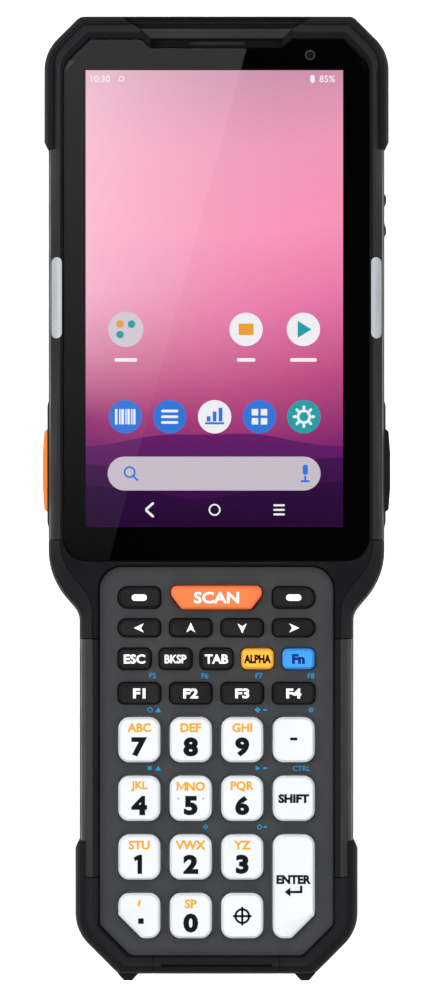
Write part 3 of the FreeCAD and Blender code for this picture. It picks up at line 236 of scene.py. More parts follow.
sensor, lens = 36.0, 150.0
frame_height = 0.2093
frame_middle = -0.44 * mm
eye = bpy.data.cameras.new("camera")
eye.sensor_fit = "VERTICAL"
eye.sensor_height, eye.sensor_width = sensor, sensor
eye.lens = lens
camera = bpy.data.objects.new("camera", eye)
scene.collection.objects.link(camera)
top_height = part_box("display_glass")[1].z
camera.location = (0.0, frame_middle, top_height + frame_height * lens / sensor)
scene.camera = camera

# Housing shells, battery door and volume rocker.
# Glass-filled nylon, injection moulded in steel tools with a fine spark-eroded grain and
# screwed together round the parting line. The front's frame, neck and rails are the same resin
# in a smoother grain.


def dress(names, material, angle=38.0):
    """Gives CAD nodes one material, and rounds their shading over edges gentler than an angle."""
    for name in names:
        piece = nodes[name]
        piece.data.materials.clear()
        piece.data.materials.append(material)
        for face in piece.data.polygons:
            face.use_smooth = True
        weld = piece.modifiers.new("weld", "WELD")
        weld.merge_threshold = 0.002 * mm
        split = piece.modifiers.new("split", "EDGE_SPLIT")
        split.split_angle = math.radians(angle)


def moulded(name, colour, roughness, grain, depth, variation=0.25, gloss=0.5):
    """Moulded plastic: grain of a given size and depth, cloudiness, some polish from handling."""
    finish = Finish(name)
    clouds = finish.noise(9.0 * mm, 3.0)
    spark = finish.noise(grain)
    darker = tuple(c * (1.0 - variation) for c in colour)
    lighter = tuple(c * (1.0 + variation) for c in colour)
    tint = finish.blend(clouds * 0.6 + spark * 0.4, darker, lighter)
    rub = finish.node(
        "ShaderNodeMapRange", {}, clouds, 0.35, 0.7, roughness - 0.05, roughness + 0.07
    )
    return finish.done(
        Base_Color=tint, Roughness=rub, Specular_IOR_Level=gloss, Normal=finish.bump(spark, depth)
    )


shell_plastic = moulded(
    "shell_plastic", (0.0085, 0.0085, 0.0095), 0.58, 0.28 * mm, 0.05 * mm, 0.45, 0.10
)
dress(("front_housing", "rear_housing", "battery_door", "volume_rocker"), shell_plastic)
frame_plastic = moulded(
    "frame_plastic", (0.0065, 0.0065, 0.0075), 0.38, 0.22 * mm, 0.018 * mm, 0.30, 0.05
)
dress(("head_frame", "neck_bezel"), frame_plastic)
rail_plastic = moulded(
    "rail_plastic", (0.0075, 0.0075, 0.0085), 0.38, 0.22 * mm, 0.018 * mm, 0.30, 0.12
)
dress(("grip_rails",), rail_plastic)

# Rubber bumpers, neck guards and port cover.
# Soft thermoplastic rubber moulded over the corners, matt and slightly greyer than the
# plastic, with a coarser grain that scatters the light.


def rubbery(name, colour, roughness):
    """Matt rubber: round pebbles in the mould's grain, dust held in them."""
    finish = Finish(name)
    pebble_size = 0.42 * mm
    pebbles = finish.node(
        "ShaderNodeTexVoronoi",
        {"feature": "SMOOTH_F1"},
        Vector=finish.place(),
        Scale=1.0 / pebble_size,
    )
    clouds = finish.noise(12.0 * mm, 3.0)
    lighter = tuple(c * 1.9 for c in colour)
    tint = finish.blend(clouds * 0.4 + pebbles * 0.6, colour, lighter)
    return finish.done(
        Base_Color=tint,
        Roughness=roughness + clouds * 0.08,
        Normal=finish.bump(pebbles, 0.05 * mm),
        Specular_IOR_Level=0.03,
    )


bumper_rubber = rubbery("bumper_rubber", (0.0068, 0.0069, 0.0076), 0.60)
dress(("head_bumper", "foot_bumper", "neck_guards", "port_cover"), bumper_rubber)

# Speaker bar over the glass.
# A separate glossy strip of dark plastic, clipped over the earpiece. Below it, behind the glass,
# lies the slot's woven mesh.
bar_plastic = moulded("bar_plastic", (0.012, 0.012, 0.013), 0.30, 0.35 * mm, 0.006 * mm)
dress(("earpiece_bar",), bar_plastic)


def flat_piece(name, shapes, level, thickness, material, body, flip=False):
    """Thin printed or cut marks lying on a surface at one level, or hanging below it if flipped.

    A shape is ("disc", x, y, radius), ("ring", x, y, radius, width), ("bar", x, y, length, width,
    degrees) with square ends, ("pill", x, y, length, width, degrees) with round ends, or
    ("poly", [(x, y), ...]). All are in millimetres.
    """
    bm = bmesh.new()
    for shape in shapes:
        kind, rest = shape[0], shape[1:]
        if kind == "disc":
            x, y, radius = rest
            at = Matrix.Translation((x, y, 0))
            bmesh.ops.create_circle(bm, cap_ends=True, segments=40, radius=radius, matrix=at)
        elif kind == "ring":
            x, y, radius, width = rest
            at = Matrix.Translation((x, y, 0))
            made = bmesh.ops.create_circle(bm, cap_ends=True, segments=40, radius=radius, matrix=at)
            face = made["verts"][0].link_faces[0]
            bmesh.ops.inset_region(
                bm, faces=[face], thickness=width, use_boundary=True, use_even_offset=True
            )
            bmesh.ops.delete(bm, geom=[face], context="FACES")
        elif kind in ("bar", "pill"):
            x, y, length, width, degrees = rest
            turn = Matrix.Translation((x, y, 0)) @ Matrix.Rotation(math.radians(degrees), 4, "Z")
            scale = Matrix.Diagonal((length / 2, width / 2, 1, 1))
            made = bmesh.ops.create_grid(
                bm, x_segments=1, y_segments=1, size=1.0, matrix=turn @ scale
            )
            if kind == "pill":
                bmesh.ops.bevel(
                    bm,
                    geom=made["verts"],
                    offset=width * 0.499,
                    segments=8,
                    profile=0.5,
                    affect="VERTICES",
                    material=-1,
                )
        else:
            bm.faces.new([bm.verts.new((x, y, 0)) for x, y in rest[0]])
    bmesh.ops.recalc_face_normals(bm, faces=bm.faces)
    for face in bm.faces:
        if (face.normal.z < 0) != flip:
            face.normal_flip()
    raised = bmesh.ops.extrude_face_region(bm, geom=list(bm.faces), use_keep_orig=True)
    lift = [e for e in raised["geom"] if isinstance(e, bmesh.types.BMVert)]
    bmesh.ops.translate(bm, verts=lift, vec=(0, 0, -thickness / mm if flip else thickness / mm))
    seat = Matrix.Translation((0, 0, level)) @ Matrix.Diagonal((mm, mm, mm, 1))
    bmesh.ops.transform(bm, verts=bm.verts, matrix=seat)
    bmesh.ops.recalc_face_normals(bm, faces=bm.faces)
    mesh = bpy.data.meshes.new(name)
    bm.to_mesh(mesh)
    bm.free()
    piece = add_object(name, mesh)
    mesh.materials.append(material)
    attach(piece, body)
    return piece


def weave(name, colour, pitch):
    """Fine woven mesh: two crossing sets of round threads."""
    finish = Finish(name)
    sets = [
        finish.node(
            "ShaderNodeTexWave", {"bands_direction": way}, Vector=finish.place(), Scale=0.31 / pitch
        )
        for way in "XY"
    ]
    threads = finish.node("ShaderNodeMath", {"operation": "MAXIMUM"}, *sets)
    return finish.done(
        Base_Color=finish.blend(threads, tuple(c * 0.2 for c in colour), colour),
        Roughness=0.55,
        Metallic=0.3,
        Normal=finish.bump(threads, 0.05 * mm),
    )


bar_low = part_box("earpiece_bar")[0]
slot_mesh = weave("slot_mesh", (0.008, 0.008, 0.009), 0.28 * mm)
flat_piece(
    "earpiece_mesh", [("bar", 0, bar_low.y / mm - 1.1, 12.2, 1.5, 0)],
    top_height - 1.1 * mm, 0.1 * mm, slot_mesh, "terminal",
)

# Display glass with its printed border.
# Chemically hardened glass, 1.1 mm thick, with an opaque black print on its back. The lit
# picture and the front camera's ring lie over the print.
glass_finish = Finish("cover_glass")
cover_glass = glass_finish.done(
    Base_Color=plain((1.0, 1.0, 1.0)), Roughness=0.0, IOR=1.5, Transmission_Weight=1.0
)
dress(("display_glass",), cover_glass, 20.0)
glass_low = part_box("display_glass")[0].z
ink_finish = Finish("border_ink")
speckle = ink_finish.noise(0.5 * mm)
border_ink = ink_finish.done(
    Base_Color=ink_finish.blend(speckle, (0.0002, 0.0002, 0.0002), (0.0003, 0.0003, 0.0003)),
    Roughness=0.6,
    Specular_IOR_Level=0.0,
)
border = [
    (13.55, 93.95), (15.65, 95.75), (25.3, 95.75), (31.75, 89.3),
    (31.75, -9.5), (30.9, -11.8), (28.6, -12.95),
]
flat_piece(
    "border_print", [("poly", border + [(-x, y) for x, y in reversed(border)])],
    glass_low + 0.06 * mm, 0.10 * mm, border_ink, "terminal",
)

# Picture on the display.
# A lit liquid crystal panel, 53.9 by 95.7 mm, showing a plain home screen: a rosy evening sky
# over layered waves of hills, round tool icons, a search bar and three navigation marks.
screen_left, screen_right, screen_foot, screen_head = -27.4, 26.5, -6.13, 89.57
picture = Finish("picture")
screen_width, screen_height = 53.9 * mm, 95.7 * mm
sideways = picture.node("ShaderNodeSeparateXYZ", {}, picture.place(), outlet="X")
upward = Value(picture, sideways.socket.node.outputs["Y"])
across = (sideways - screen_left * mm) * (1.0 / screen_width)
up = (upward - screen_foot * mm) * (1.0 / screen_height)
glow = across * (1.0 - across) * 0.16
sky = picture.node(
    "ShaderNodeValToRGB",
    {
        "stops": [
            (0.17, (0.22, 0.020, 0.16)),
            (0.32, (0.52, 0.075, 0.23)),
            (0.50, (0.84, 0.20, 0.42)),
            (0.66, (0.98, 0.31, 0.50)),
            (0.84, (0.90, 0.33, 0.50)),
            (1.00, (0.64, 0.30, 0.44)),
        ]
    },
    up + glow - 0.02,
)
paleness = picture.node("ShaderNodeMapRange", {}, up, 0.24, 0.52, 0.0, 0.6)
sky = picture.blend(paleness * ((1.0 - across) * (1.0 - across)), sky, (1.0, 0.66, 0.77))


def hill(height, swell, waves, start):
    """One where the picture lies under a wavy hill line, and zero above it."""
    sine = {"operation": "SINE"}
    wave = picture.node("ShaderNodeMath", sine, across * waves + start)
    fine = picture.node("ShaderNodeMath", sine, across * (waves * 2.7) + start * 2.0)
    line = wave * swell + fine * (swell * 0.22) + height
    edge = 0.0015
    return picture.node(
        "ShaderNodeMapRange",
        {"interpolation_type": "SMOOTHSTEP"},
        line - up, -edge, edge, 0.0, 1.0,
    )


view_colour = sky
for height, swell, waves, start, foot_colour, crest_colour in (
    (0.192, 0.014, 5.4, 5.2, (0.060, 0.009, 0.085), (0.140, 0.014, 0.150)),
    (0.140, 0.020, 4.1, 3.3, (0.030, 0.004, 0.050), (0.060, 0.008, 0.085)),
    (0.080, 0.016, 6.3, 1.9, (0.014, 0.002, 0.026), (0.030, 0.005, 0.052)),
):
    shade = picture.node("ShaderNodeMapRange", {}, up, height - 0.14, height + 0.02, 0.0, 1.0)
    cover = hill(height, swell, waves, start)
    view_colour = picture.blend(
        cover, view_colour, picture.blend(shade, foot_colour, crest_colour)
    )
picture_shader = picture.node(
    "ShaderNodeBsdfPrincipled",
    {},
    Base_Color=plain((0.0, 0.0, 0.0)),
    Roughness=0.5,
    Specular_IOR_Level=0.0,
    Emission_Color=view_colour,
    Emission_Strength=1.0,
)
picture.node("ShaderNodeOutputMaterial", {}, picture_shader)
centre_x, centre_y = (screen_left + screen_right) / 2, (screen_foot + screen_head) / 2
flat_piece(
    "screen_picture",
    [("bar", centre_x, centre_y, screen_right - screen_left, screen_head - screen_foot, 0)],
    glass_low + 0.20 * mm,
    0.03 * mm,
    picture.material,
    "terminal",
)


def lit(name, colour):
    """An even lit colour on the display."""
    finish = Finish(name)
    return finish.done(
        Base_Color=plain((0.0, 0.0, 0.0)),
        Specular_IOR_Level=0.0,
        Roughness=0.5,
        Emission_Color=plain(colour),
        Emission_Strength=1.0,
    )


lit_white = lit("lit_white", (0.90, 0.90, 0.92))
lit_blue = lit("lit_blue", (0.035, 0.19, 0.72))
lit_teal = lit("lit_teal", (0.02, 0.36, 0.40))
lit_amber = lit("lit_amber", (0.86, 0.36, 0.04))
lit_grey = lit("lit_grey", (0.60, 0.53, 0.61))
lit_pale = lit("lit_pale", (0.66, 0.60, 0.68))
upper_row, dock_row, search_row, home_row, status_row = 35.3, 17.0, 5.1, -2.5, 87.75
folder_x, board_x, play_x = -19.0, 6.2, 18.2
code_x, list_x, chart_x, tiles_x, gear_x = -19.1, -9.8, -0.4, 9.0, 18.3
disc_radius, tooth_radius = 3.5, 1.9
screen_level = glass_low + 0.28 * mm
icon_level = glass_low + 0.36 * mm
film = 0.01 * mm
flat_piece(
    "screen_white_discs",
    [
        ("disc", chart_x, dock_row, disc_radius),
        ("disc", board_x, upper_row, disc_radius), ("disc", play_x, upper_row, disc_radius),
    ],
    screen_level, film, lit_white, "terminal",
)
flat_piece(
    "screen_pale_disc", [("disc", folder_x, upper_row, 3.7)],
    screen_level, film, lit_pale, "terminal",
)
flat_piece(
    "screen_blue_discs", [("disc", x, dock_row, disc_radius) for x in (code_x, list_x, tiles_x)],
    screen_level, film, lit_blue, "terminal",
)
flat_piece(
    "screen_teal_disc", [("disc", gear_x, dock_row, disc_radius)],
    screen_level, film, lit_teal, "terminal",
)
flat_piece(
    "screen_search_bar", [("pill", -0.5, search_row, 44.6, 7.1, 0)],
    screen_level, film, lit_grey, "terminal",
)
code_bars = (
    (-1.9, 0.5), (-1.15, 0.3), (-0.55, 0.55), (0.15, 0.25), (0.7, 0.5), (1.35, 0.3), (1.9, 0.45),
)
gear_teeth = [
    (
        "pill", gear_x + tooth_radius * math.cos(math.radians(turn)),
        dock_row + tooth_radius * math.sin(math.radians(turn)), 0.9, 0.6, turn,
    )
    for turn in range(0, 360, 45)
]
name_lines = ((folder_x, 4.8), (board_x, 3.9), (play_x, 5.6))
flat_piece(
    "screen_white_glyphs",
    [("bar", code_x + x, dock_row, width, 3.2, 0) for x, width in code_bars]
    + [("pill", list_x, dock_row + y, 3.6, 0.55, 0) for y in (1.2, 0.0, -1.2)]
    + [
        ("bar", tiles_x + x, dock_row + y, 1.35, 1.35, 0)
        for x in (-0.95, 0.95) for y in (-0.95, 0.95)
    ]
    + [("ring", gear_x, dock_row, 1.5, 0.55)]
    + gear_teeth
    + [("pill", x, upper_row - 6.4, length, 0.75, 0) for x, length in name_lines]
    + [("pill", -14.0, home_row + side * 0.75, 2.3, 0.5, side * 42) for side in (-1, 1)]
    + [("ring", -0.4, home_row, 1.25, 0.32)]
    + [("pill", 13.1, home_row + y, 2.4, 0.42, 0) for y in (-0.95, 0.0, 0.95)]
    + [("ring", -19.9, status_row, 0.60, 0.20), ("pill", 20.1, status_row, 1.7, 0.95, 90)],
    icon_level, film, lit_white, "terminal",
)
chart_bars = ((-1.25, 1.1), (0.0, 2.1), (1.25, 2.9))
chart_foot = dock_row - 1.6
chart_line = [
    (chart_x - 2.0, chart_foot), (chart_x + 2.0, chart_foot),
    (chart_x + 2.0, chart_foot + 0.45), (chart_x - 2.0, chart_foot + 0.45),
]
flat_piece(
    "screen_blue_glyphs",
    [("ring", -18.2, 5.4, 1.25, 0.38), ("pill", -16.95, 4.1, 1.4, 0.4, -45), ("poly", chart_line)]
    + [("bar", chart_x + x, dock_row - 1.0 + tall / 2, 0.8, tall, 0) for x, tall in chart_bars],
    icon_level, film, lit_blue, "terminal",
)
flat_piece(
    "screen_amber_glyphs",
    [("bar", board_x, upper_row, 3.1, 2.4, 0), ("disc", -20.2, upper_row + 1.1, 0.8)],
    icon_level, film, lit_amber, "terminal",
)
flat_piece(
    "screen_teal_glyphs",
    [
        ("poly", [(17.0, upper_row - 1.8), (19.9, upper_row), (17.0, upper_row + 1.8)]),
        ("disc", -17.8, upper_row + 1.1, 0.8), ("disc", -20.2, upper_row - 1.1, 0.8),
    ],
    icon_level, film, lit_teal, "terminal",
)
flat_piece(
    "screen_mic_mark",
    [
        ("pill", 18.6, 5.9, 2.2, 1.1, 90), ("bar", 18.6, 4.1, 0.45, 1.1, 0),
        ("pill", 18.6, 3.5, 1.9, 0.45, 0),
    ],
    icon_level, film, lit_blue, "terminal",
)


def legend(name, text, height, x, y, level, material, body, bold=0.0, stretch=1.0):
    """Printed characters of a given height, centred on a point; sizes in millimetres."""
    half_depth, printed_depth = 0.005, 0.02
    letters = bpy.data.curves.new(name, "FONT")
    letters.body = text
    letters.resolution_u = 3
    letters.offset = bold
    letters.extrude = half_depth
    holder = bpy.data.objects.new(name + "_type", letters)
    scene.collection.objects.link(holder)
    bpy.context.view_layer.update()
    mesh = bpy.data.meshes.new_from_object(holder)
    mesh.name = name
    bpy.data.objects.remove(holder)
    xs, ys = [v.co.x for v in mesh.vertices], [v.co.y for v in mesh.vertices]
    scale = height * mm / (max(ys) - min(ys))
    middle = Vector((-(max(xs) + min(xs)) / 2, -(max(ys) + min(ys)) / 2, 0))
    mesh.transform(
        Matrix.Translation((x * mm, y * mm, level))
        @ Matrix.Diagonal((scale * stretch, scale, printed_depth * mm / (2 * half_depth), 1))
        @ Matrix.Translation(middle)
    )
    mesh.materials.clear()
    mesh.materials.append(material)
    piece = add_object(name, mesh)
    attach(piece, body)
    return piece


for name, text, x in (("screen_clock", "10:30", -24.3), ("screen_charge", "85%", 23.2)):
    legend(name, text, 1.45, x, status_row, icon_level, lit_white, "terminal", 0.01)

# Front camera.
# A small lens behind the glass at the head of the display, with a dull metal ring round a
# dark coated glass.
camera_x, camera_y = 19.6, 92.75
lens_ring = Finish("lens_ring")
brushed = lens_ring.noise(0.2 * mm)
lens_ring_metal = lens_ring.done(
    Base_Color=lens_ring.blend(brushed, (0.06, 0.06, 0.065), (0.12, 0.12, 0.13)),
    Roughness=0.35,
    Metallic=0.6,
)
lens_finish = Finish("lens_coating")
coating = lens_finish.noise(1.2 * mm)
lens_coating = lens_finish.done(
    Base_Color=lens_finish.blend(coating, (0.004, 0.005, 0.012), (0.012, 0.010, 0.030)),
    Roughness=0.08,
)
for name, shape, thickness, material in (
    ("camera_ring", ("ring", camera_x, camera_y, 1.05, 0.30), 0.05 * mm, lens_ring_metal),
    ("camera_lens", ("disc", camera_x, camera_y, 0.55), 0.04 * mm, lens_coating),
):
    flat_piece(name, [shape], screen_level, thickness, material, "terminal")

# Key pad plate with its blue marks.
# A moulded dark grey plate with a matt grain, and small second-function marks printed in blue.
plate_plastic = moulded(
    "plate_plastic", (0.030, 0.031, 0.0325), 0.52, 0.30 * mm, 0.02 * mm, 0.10, 0.2
)
dress(("keypad_plate",), plate_plastic)
ink_depth = 0.02 * mm
plate_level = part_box("keypad_plate")[1].z - 0.004 * mm


def print_ink(name, colour, roughness=0.45):
    """Screen printed ink: nearly even, with a faint mottle."""
    finish = Finish(name)
    mottle = finish.noise(0.35 * mm)
    darker = tuple(c * 0.9 for c in colour)
    lighter = tuple(min(1.0, c * 1.08) for c in colour)
    return finish.done(
        Base_Color=finish.blend(mottle, darker, lighter),
        Roughness=roughness,
        Specular_IOR_Level=0.15,
    )


blue_ink = print_ink("blue_ink", (0.006, 0.21, 0.44))
navy_ink = print_ink("navy_ink", (0.002, 0.022, 0.14))
white_ink = print_ink("white_ink", (0.86, 0.86, 0.86))
black_ink = print_ink("black_ink", (0.002, 0.002, 0.0025))
amber_ink = print_ink("amber_ink", (0.60, 0.285, 0.012))
for text, x, y, height in (
    ("F5", -13.4, -37.25, 1.15),
    ("F6", -2.4, -37.25, 1.15),
    ("F7", 8.9, -37.25, 1.15),
    ("F8", 19.8, -37.25, 1.15),
    ("CTRL", 17.8, -56.65, 1.10),
):
    legend(f"plate_{text}", text, height, x, y, plate_level, blue_ink, "terminal", 0.012)
flat_piece(
    "plate_blue_marks",
    [
        ("ring", -13.9, -44.4, 0.55, 0.18),
        ("poly", [(-12.8, -44.9), (-11.6, -44.9), (-12.2, -43.9)]),
        ("bar", 8.6, -44.4, 0.9, 0.9, 45), ("pill", 10.2, -44.4, 0.9, 0.3, 0),
        ("ring", 19.8, -44.4, 0.5, 0.18), ("disc", 19.8, -44.4, 0.16),
        ("bar", -14.0, -56.6, 0.8, 0.8, 0),
        ("poly", [(-12.8, -57.1), (-11.6, -57.1), (-12.2, -56.1)]),
        ("poly", [(8.2, -57.1), (9.2, -56.6), (8.2, -56.1)]),
        ("pill", 10.2, -56.6, 0.9, 0.3, 0),
        ("pill", -2.3, -68.9, 1.1, 0.3, 0), ("pill", -2.3, -68.9, 1.1, 0.3, 90),
        ("ring", 9.0, -68.9, 0.5, 0.18), ("pill", 10.2, -68.9, 0.8, 0.3, 0),
    ],
    plate_level, ink_depth, blue_ink, "terminal",
)

# Keys.
# Two-shot moulded caps with satin tops: white number keys, black function keys, an orange
# scan key, an amber shift-to-letters key and a blue function key. Legends are printed on top.
white_keys = list("0123456789") + ["point", "locate", "enter", "shift", "minus"]
black_keys = ["soft_left", "soft_right", "arrow_left", "arrow_up", "arrow_down", "arrow_right"]
black_keys += ["esc", "backspace", "tab", "f1", "f2", "f3", "f4"]
white_caps = moulded("white_caps", (0.58, 0.60, 0.63), 0.34, 0.25 * mm, 0.008 * mm, 0.02)
black_caps = moulded("black_caps", (0.007, 0.007, 0.008), 0.40, 0.25 * mm, 0.012 * mm, gloss=0.25)
orange_caps = moulded("orange_caps", (0.80, 0.155, 0.045), 0.36, 0.25 * mm, 0.008 * mm, 0.06)
amber_caps = moulded("amber_caps", (0.84, 0.37, 0.035), 0.36, 0.25 * mm, 0.008 * mm, 0.06)
blue_caps = moulded("blue_caps", (0.035, 0.25, 0.72), 0.36, 0.25 * mm, 0.008 * mm, 0.06)
for words, caps in (
    (white_keys, white_caps), (black_keys, black_caps),
    (["scan"], orange_caps), (["alpha"], amber_caps), (["fn"], blue_caps),
):
    dress([f"key_{word}" for word in words], caps, 50.0)


def key_face(word):
    """Centre of a key in millimetres, and the level for ink sunk a little into its top."""
    low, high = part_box(f"key_{word}")
    return (low.x + high.x) / 2 / mm, (low.y + high.y) / 2 / mm, high.z - 0.005 * mm


for word, text, height, drop, ink, bold, stretch in (
    [(n, n, 4.05, 1.45, black_ink, 0.055, 1.15) for n in "023456789"]
    + [
        ("esc", "ESC", 1.95, 0, white_ink, 0.034, 1.10),
        ("backspace", "BKSP", 1.85, 0, white_ink, 0.026, 0.86),
        ("tab", "TAB", 1.95, 0, white_ink, 0.034, 1.02),
        ("alpha", "ALPHA", 1.85, 0, black_ink, 0.056, 0.76),
        ("fn", "Fn", 2.10, 0, navy_ink, 0.060, 1.08),
        ("shift", "SHIFT", 1.90, 0, black_ink, 0.056, 1.08),
        ("enter", "ENTER", 1.90, -1.5, black_ink, 0.052, 0.98),
        ("scan", "SCAN", 2.40, 0, white_ink, 0.026, 1.16),
    ]
    + [(f"f{n}", f"F{n}", 2.10, 0, white_ink, 0.040, 1.22) for n in range(1, 5)]
):
    x, y, level = key_face(word)
    legend(f"legend_{word}", text, height, x, y - drop, level, ink, f"key_{word}", bold, stretch)
letter_height, tailed_height, letter_rise = 1.92, 2.20, 2.56
for word, text, shift in (
    ("7", "ABC", 0), ("8", "DEF", 0), ("9", "GHI", 0), ("4", "JKL", 0), ("6", "PQR", 0),
    ("1", "STU", 0), ("2", "VWX", 0), ("3", "YZ", 0), ("0", "SP", 0), ("5", "NO", 1.05),
):
    x, y, level = key_face(word)
    tall = tailed_height if set(text) & set("JQ") else letter_height
    legend(
        f"letters_{word}", text, tall, x + shift, y + letter_rise, level, amber_ink, f"key_{word}",
        0.040, 1.02,
    )
x, y, level = key_face("5")
half_wide, stem, notch = 1.02, 0.40, 0.72
low, high = y + letter_rise - letter_height / 2, y + letter_rise + letter_height / 2
m_left = [
    (-half_wide, low), (-half_wide, high), (stem * 0.9 - half_wide, high),
    (0.0, high - 2 * notch + 0.28),
]
m_inner = [(half_wide - stem, low), (half_wide - stem, high - notch), (0.0, low + 0.12)]
m_outline = m_left + [(-px, py) for px, py in reversed(m_left[:-1])] + m_inner
m_outline += [(stem - half_wide, high - notch), (stem - half_wide, low)]
flat_piece(
    "letter_m", [("poly", [(x - 1.95 + px, py) for px, py in m_outline])],
    level, ink_depth, amber_ink, "key_5",
)
x, y, level = key_face("1")
y -= 1.45
figure_one = [
    (x + 0.60, y - 2.0), (x + 0.60, y + 2.0), (x - 0.10, y + 2.0), (x - 1.15, y + 1.40),
    (x - 0.92, y + 0.62), (x - 0.36, y + 0.92), (x - 0.36, y - 2.0),
]
flat_piece("legend_1", [("poly", figure_one)], level, ink_depth, black_ink, "key_1")
x, y, level = key_face("5")
flat_piece(
    "marks_5", [("disc", x - 2.6, y, 0.14), ("disc", x + 2.6, y, 0.14)],
    level, 0.05 * mm, black_ink, "key_5",
)
x, y, level = key_face("point")
flat_piece(
    "legend_point", [("bar", x + 0.35, y - 1.05, 1.15, 1.15, 0)],
    level, ink_depth, black_ink, "key_point",
)
flat_piece(
    "comma_point", [("pill", x, y + 2.7, 1.4, 0.5, 75)], level, ink_depth, amber_ink, "key_point"
)
x, y, level = key_face("minus")
flat_piece(
    "legend_minus", [("bar", x, y + 0.2, 1.5, 0.6, 0)], level, ink_depth, black_ink, "key_minus"
)
x, y, level = key_face("locate")
flat_piece(
    "legend_locate",
    [("ring", x, y, 1.65, 0.46), ("bar", x, y, 3.9, 0.46, 0), ("bar", x, y, 3.9, 0.46, 90)],
    level, ink_depth, black_ink, "key_locate",
)
x, y, level = key_face("enter")
y -= 0.9
flat_piece(
    "arrow_enter",
    [
        ("poly", [(x - 1.9, y - 0.2), (x - 0.7, y + 0.75), (x - 0.7, y - 1.15)]),
        ("bar", x + 0.4, y - 0.2, 2.4, 0.50, 0),
        ("bar", x + 1.55, y + 0.35, 0.50, 1.6, 0),
    ],
    level, ink_depth, black_ink, "key_enter",
)
for side in ("left", "right"):
    x, y, level = key_face(f"soft_{side}")
    flat_piece(
        f"mark_soft_{side}", [("pill", x, y, 3.2, 1.35, 0)],
        level, ink_depth, white_ink, f"key_soft_{side}",
    )
arrowhead = ((1.15, 0.0), (-0.95, 0.95), (-0.35, 0.0), (-0.95, -0.95))
for way, degrees in (("left", 180), ("up", 90), ("down", 270), ("right", 0)):
    x, y, level = key_face(f"arrow_{way}")
    turn = Matrix.Rotation(math.radians(degrees), 2)
    points = [(x + turned.x, y + turned.y) for turned in (turn @ Vector(p) for p in arrowhead)]
    flat_piece(
        f"mark_arrow_{way}", [("poly", points)], level, ink_depth, white_ink, f"key_arrow_{way}"
    )

# Triggers and battery lock.
# The left trigger and the sliding lock are orange so that they are found at a glance; the
# right trigger is black. A white arrow printed on the battery door points to its hinge.
trigger_orange = moulded("trigger_orange", (0.80, 0.22, 0.030), 0.42, 0.25 * mm, 0.015 * mm, 0.06)
dress(("trigger_left", "battery_lock"), trigger_orange)
door_low, door_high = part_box("battery_door")
arrow_base, arrow_tip = door_high.y / mm - 3.2, door_high.y / mm - 5.4
flat_piece(
    "door_arrow", [("poly", [(-1.6, arrow_base), (0.0, arrow_tip), (1.6, arrow_base)])],
    door_low.z + 0.005 * mm, 0.025 * mm, white_ink, "battery_door", flip=True,
)
trigger_black = moulded(
    "trigger_black", (0.006, 0.006, 0.007), 0.42, 0.25 * mm, 0.015 * mm, gloss=0.2
)
dress(("trigger_right",), trigger_black)

# Light pipes.
# Clear polycarbonate bars, milky inside, that carry the status lights round the frame's edge.
# Their colour is darkened towards the outer side as painted shade.
pipe_finish = Finish("light_pipe")
milk = pipe_finish.noise(1.5 * mm)
pipe_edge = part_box("light_pipes")[1].x
pipe_x = pipe_finish.node("ShaderNodeSeparateXYZ", {}, pipe_finish.place(), outlet="X")
reach = pipe_finish.node("ShaderNodeMath", {"operation": "ABSOLUTE"}, pipe_x)
# Mask for the painted shade: nought 2 mm inside the pipes' outer edge, one at the edge, where the
# base colour turns dark.
outer_painted_shade = pipe_finish.node(
    "ShaderNodeMapRange", {}, reach, pipe_edge - 2.0 * mm, pipe_edge, 0.0, 1.0
)
light_pipe = pipe_finish.done(
    Base_Color=pipe_finish.blend(
        outer_painted_shade * 0.85 + milk * 0.15, (0.33, 0.355, 0.38), (0.06, 0.072, 0.085)
    ),
    Roughness=0.22,
    Coat_Weight=0.3,
    Coat_Roughness=0.1,
)
dress(("light_pipes",), light_pipe)

# Scanner window and what lies behind it.
# A hard-coated acrylic window with a dark red tint, and the black imaging engine with its
# lens, aimer and lamp.
window_finish = Finish("scan_window")
haze = window_finish.noise(4.0 * mm)
scan_tint = window_finish.done(
    Base_Color=plain((0.030, 0.002, 0.004)),
    Roughness=haze * 0.02 + 0.02,
    IOR=1.49,
    Transmission_Weight=0.9,
)
dress(("scan_window",), scan_tint, 20.0)
engine_case = moulded("engine_case", (0.012, 0.012, 0.013), 0.45, 0.2 * mm, 0.01 * mm)
dress(("scan_engine", "front_camera", "loudspeaker"), engine_case)

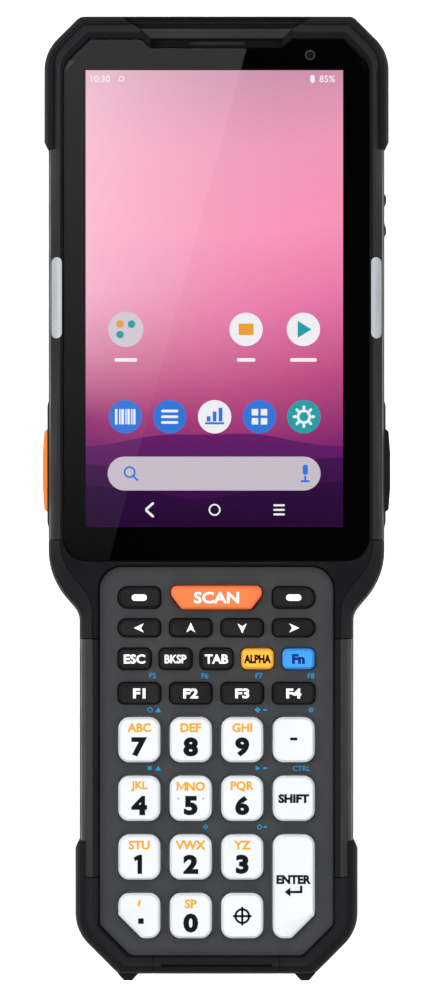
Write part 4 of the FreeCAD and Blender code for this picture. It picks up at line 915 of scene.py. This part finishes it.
# Inner parts.
# Circuit boards in green solder mask, a silicone key mat, the display panel's dark frame and
# the battery's shell. The battery shows once its door is open.
board_finish = Finish("solder_mask")
copper = board_finish.node(
    "ShaderNodeTexBrick",
    {"offset": 0.5},
    Vector=board_finish.place(),
    Scale=1.0 / (4.0 * mm),
    Color1=plain((0.010, 0.085, 0.040)),
    Color2=plain((0.016, 0.120, 0.055)),
    Mortar=plain((0.030, 0.160, 0.080)),
    Mortar_Size=0.03,
)
solder_mask = board_finish.done(Base_Color=copper, Roughness=0.35, Coat_Weight=0.2)
dress(("main_board", "keypad_board"), solder_mask)
dress(("keymat",), rubbery("mat_rubber", (0.19, 0.19, 0.20), 0.6))
panel_frame = moulded("panel_frame", (0.10, 0.10, 0.11), 0.45, 0.3 * mm, 0.01 * mm)
dress(("display_module",), panel_frame)
battery_shell = moulded("battery_shell", (0.030, 0.031, 0.034), 0.45, 0.3 * mm, 0.02 * mm)
dress(("battery_pack",), battery_shell)

# Label on the battery.
# Matt paper stuck to the battery's outer face, seen through the open door. It carries the two
# signs of the poles and blank writing lines.
battery_low, battery_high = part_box("battery_pack")
battery_middle = (battery_low.y + battery_high.y) / 2 / mm
label_level = battery_low.z + 0.01 * mm
label_paper = print_ink("label_paper", (0.52, 0.53, 0.54), 0.6)
flat_piece(
    "battery_label", [("bar", 0.0, battery_middle - 2.0, 26.0, 38.0, 0)],
    label_level, 0.06 * mm, label_paper, "terminal", flip=True,
)
sign_y = battery_middle + 13.0
flat_piece(
    "battery_marks",
    [("bar", x, sign_y, 3.0, 0.7, turn) for x, turn in ((-5.0, 0), (-5.0, 90), (5.0, 0))]
    + [("bar", 0.0, battery_middle + y, 20.0, 0.35, 0) for y in (8.0, 2.0, -4.0, -10.0, -16.0)],
    label_level - 0.055 * mm, 0.04 * mm, black_ink, "terminal", flip=True,
)

# Screws and foot connector.
# Steel, drawn and then nickel plated: the screws that hold the housing from the back, and the
# connector's shell in the foot.


def plated(name, colour, roughness):
    """Plated steel with fine drawing marks."""
    finish = Finish(name)
    marks = finish.node(
        "ShaderNodeTexNoise",
        {},
        Vector=finish.node("ShaderNodeMapping", {}, finish.place(), Scale=(1.0, 14.0, 1.0)),
        Scale=1.0 / (0.8 * mm),
        Detail=2.0,
    )
    return finish.done(
        Base_Color=finish.blend(marks, tuple(c * 0.8 for c in colour), colour),
        Metallic=1.0,
        Roughness=marks * 0.15 + roughness,
        Normal=finish.bump(marks, 0.004 * mm),
    )


dress(("housing_screws", "usb_socket"), plated("plated_steel", (0.42, 0.42, 0.43), 0.28))
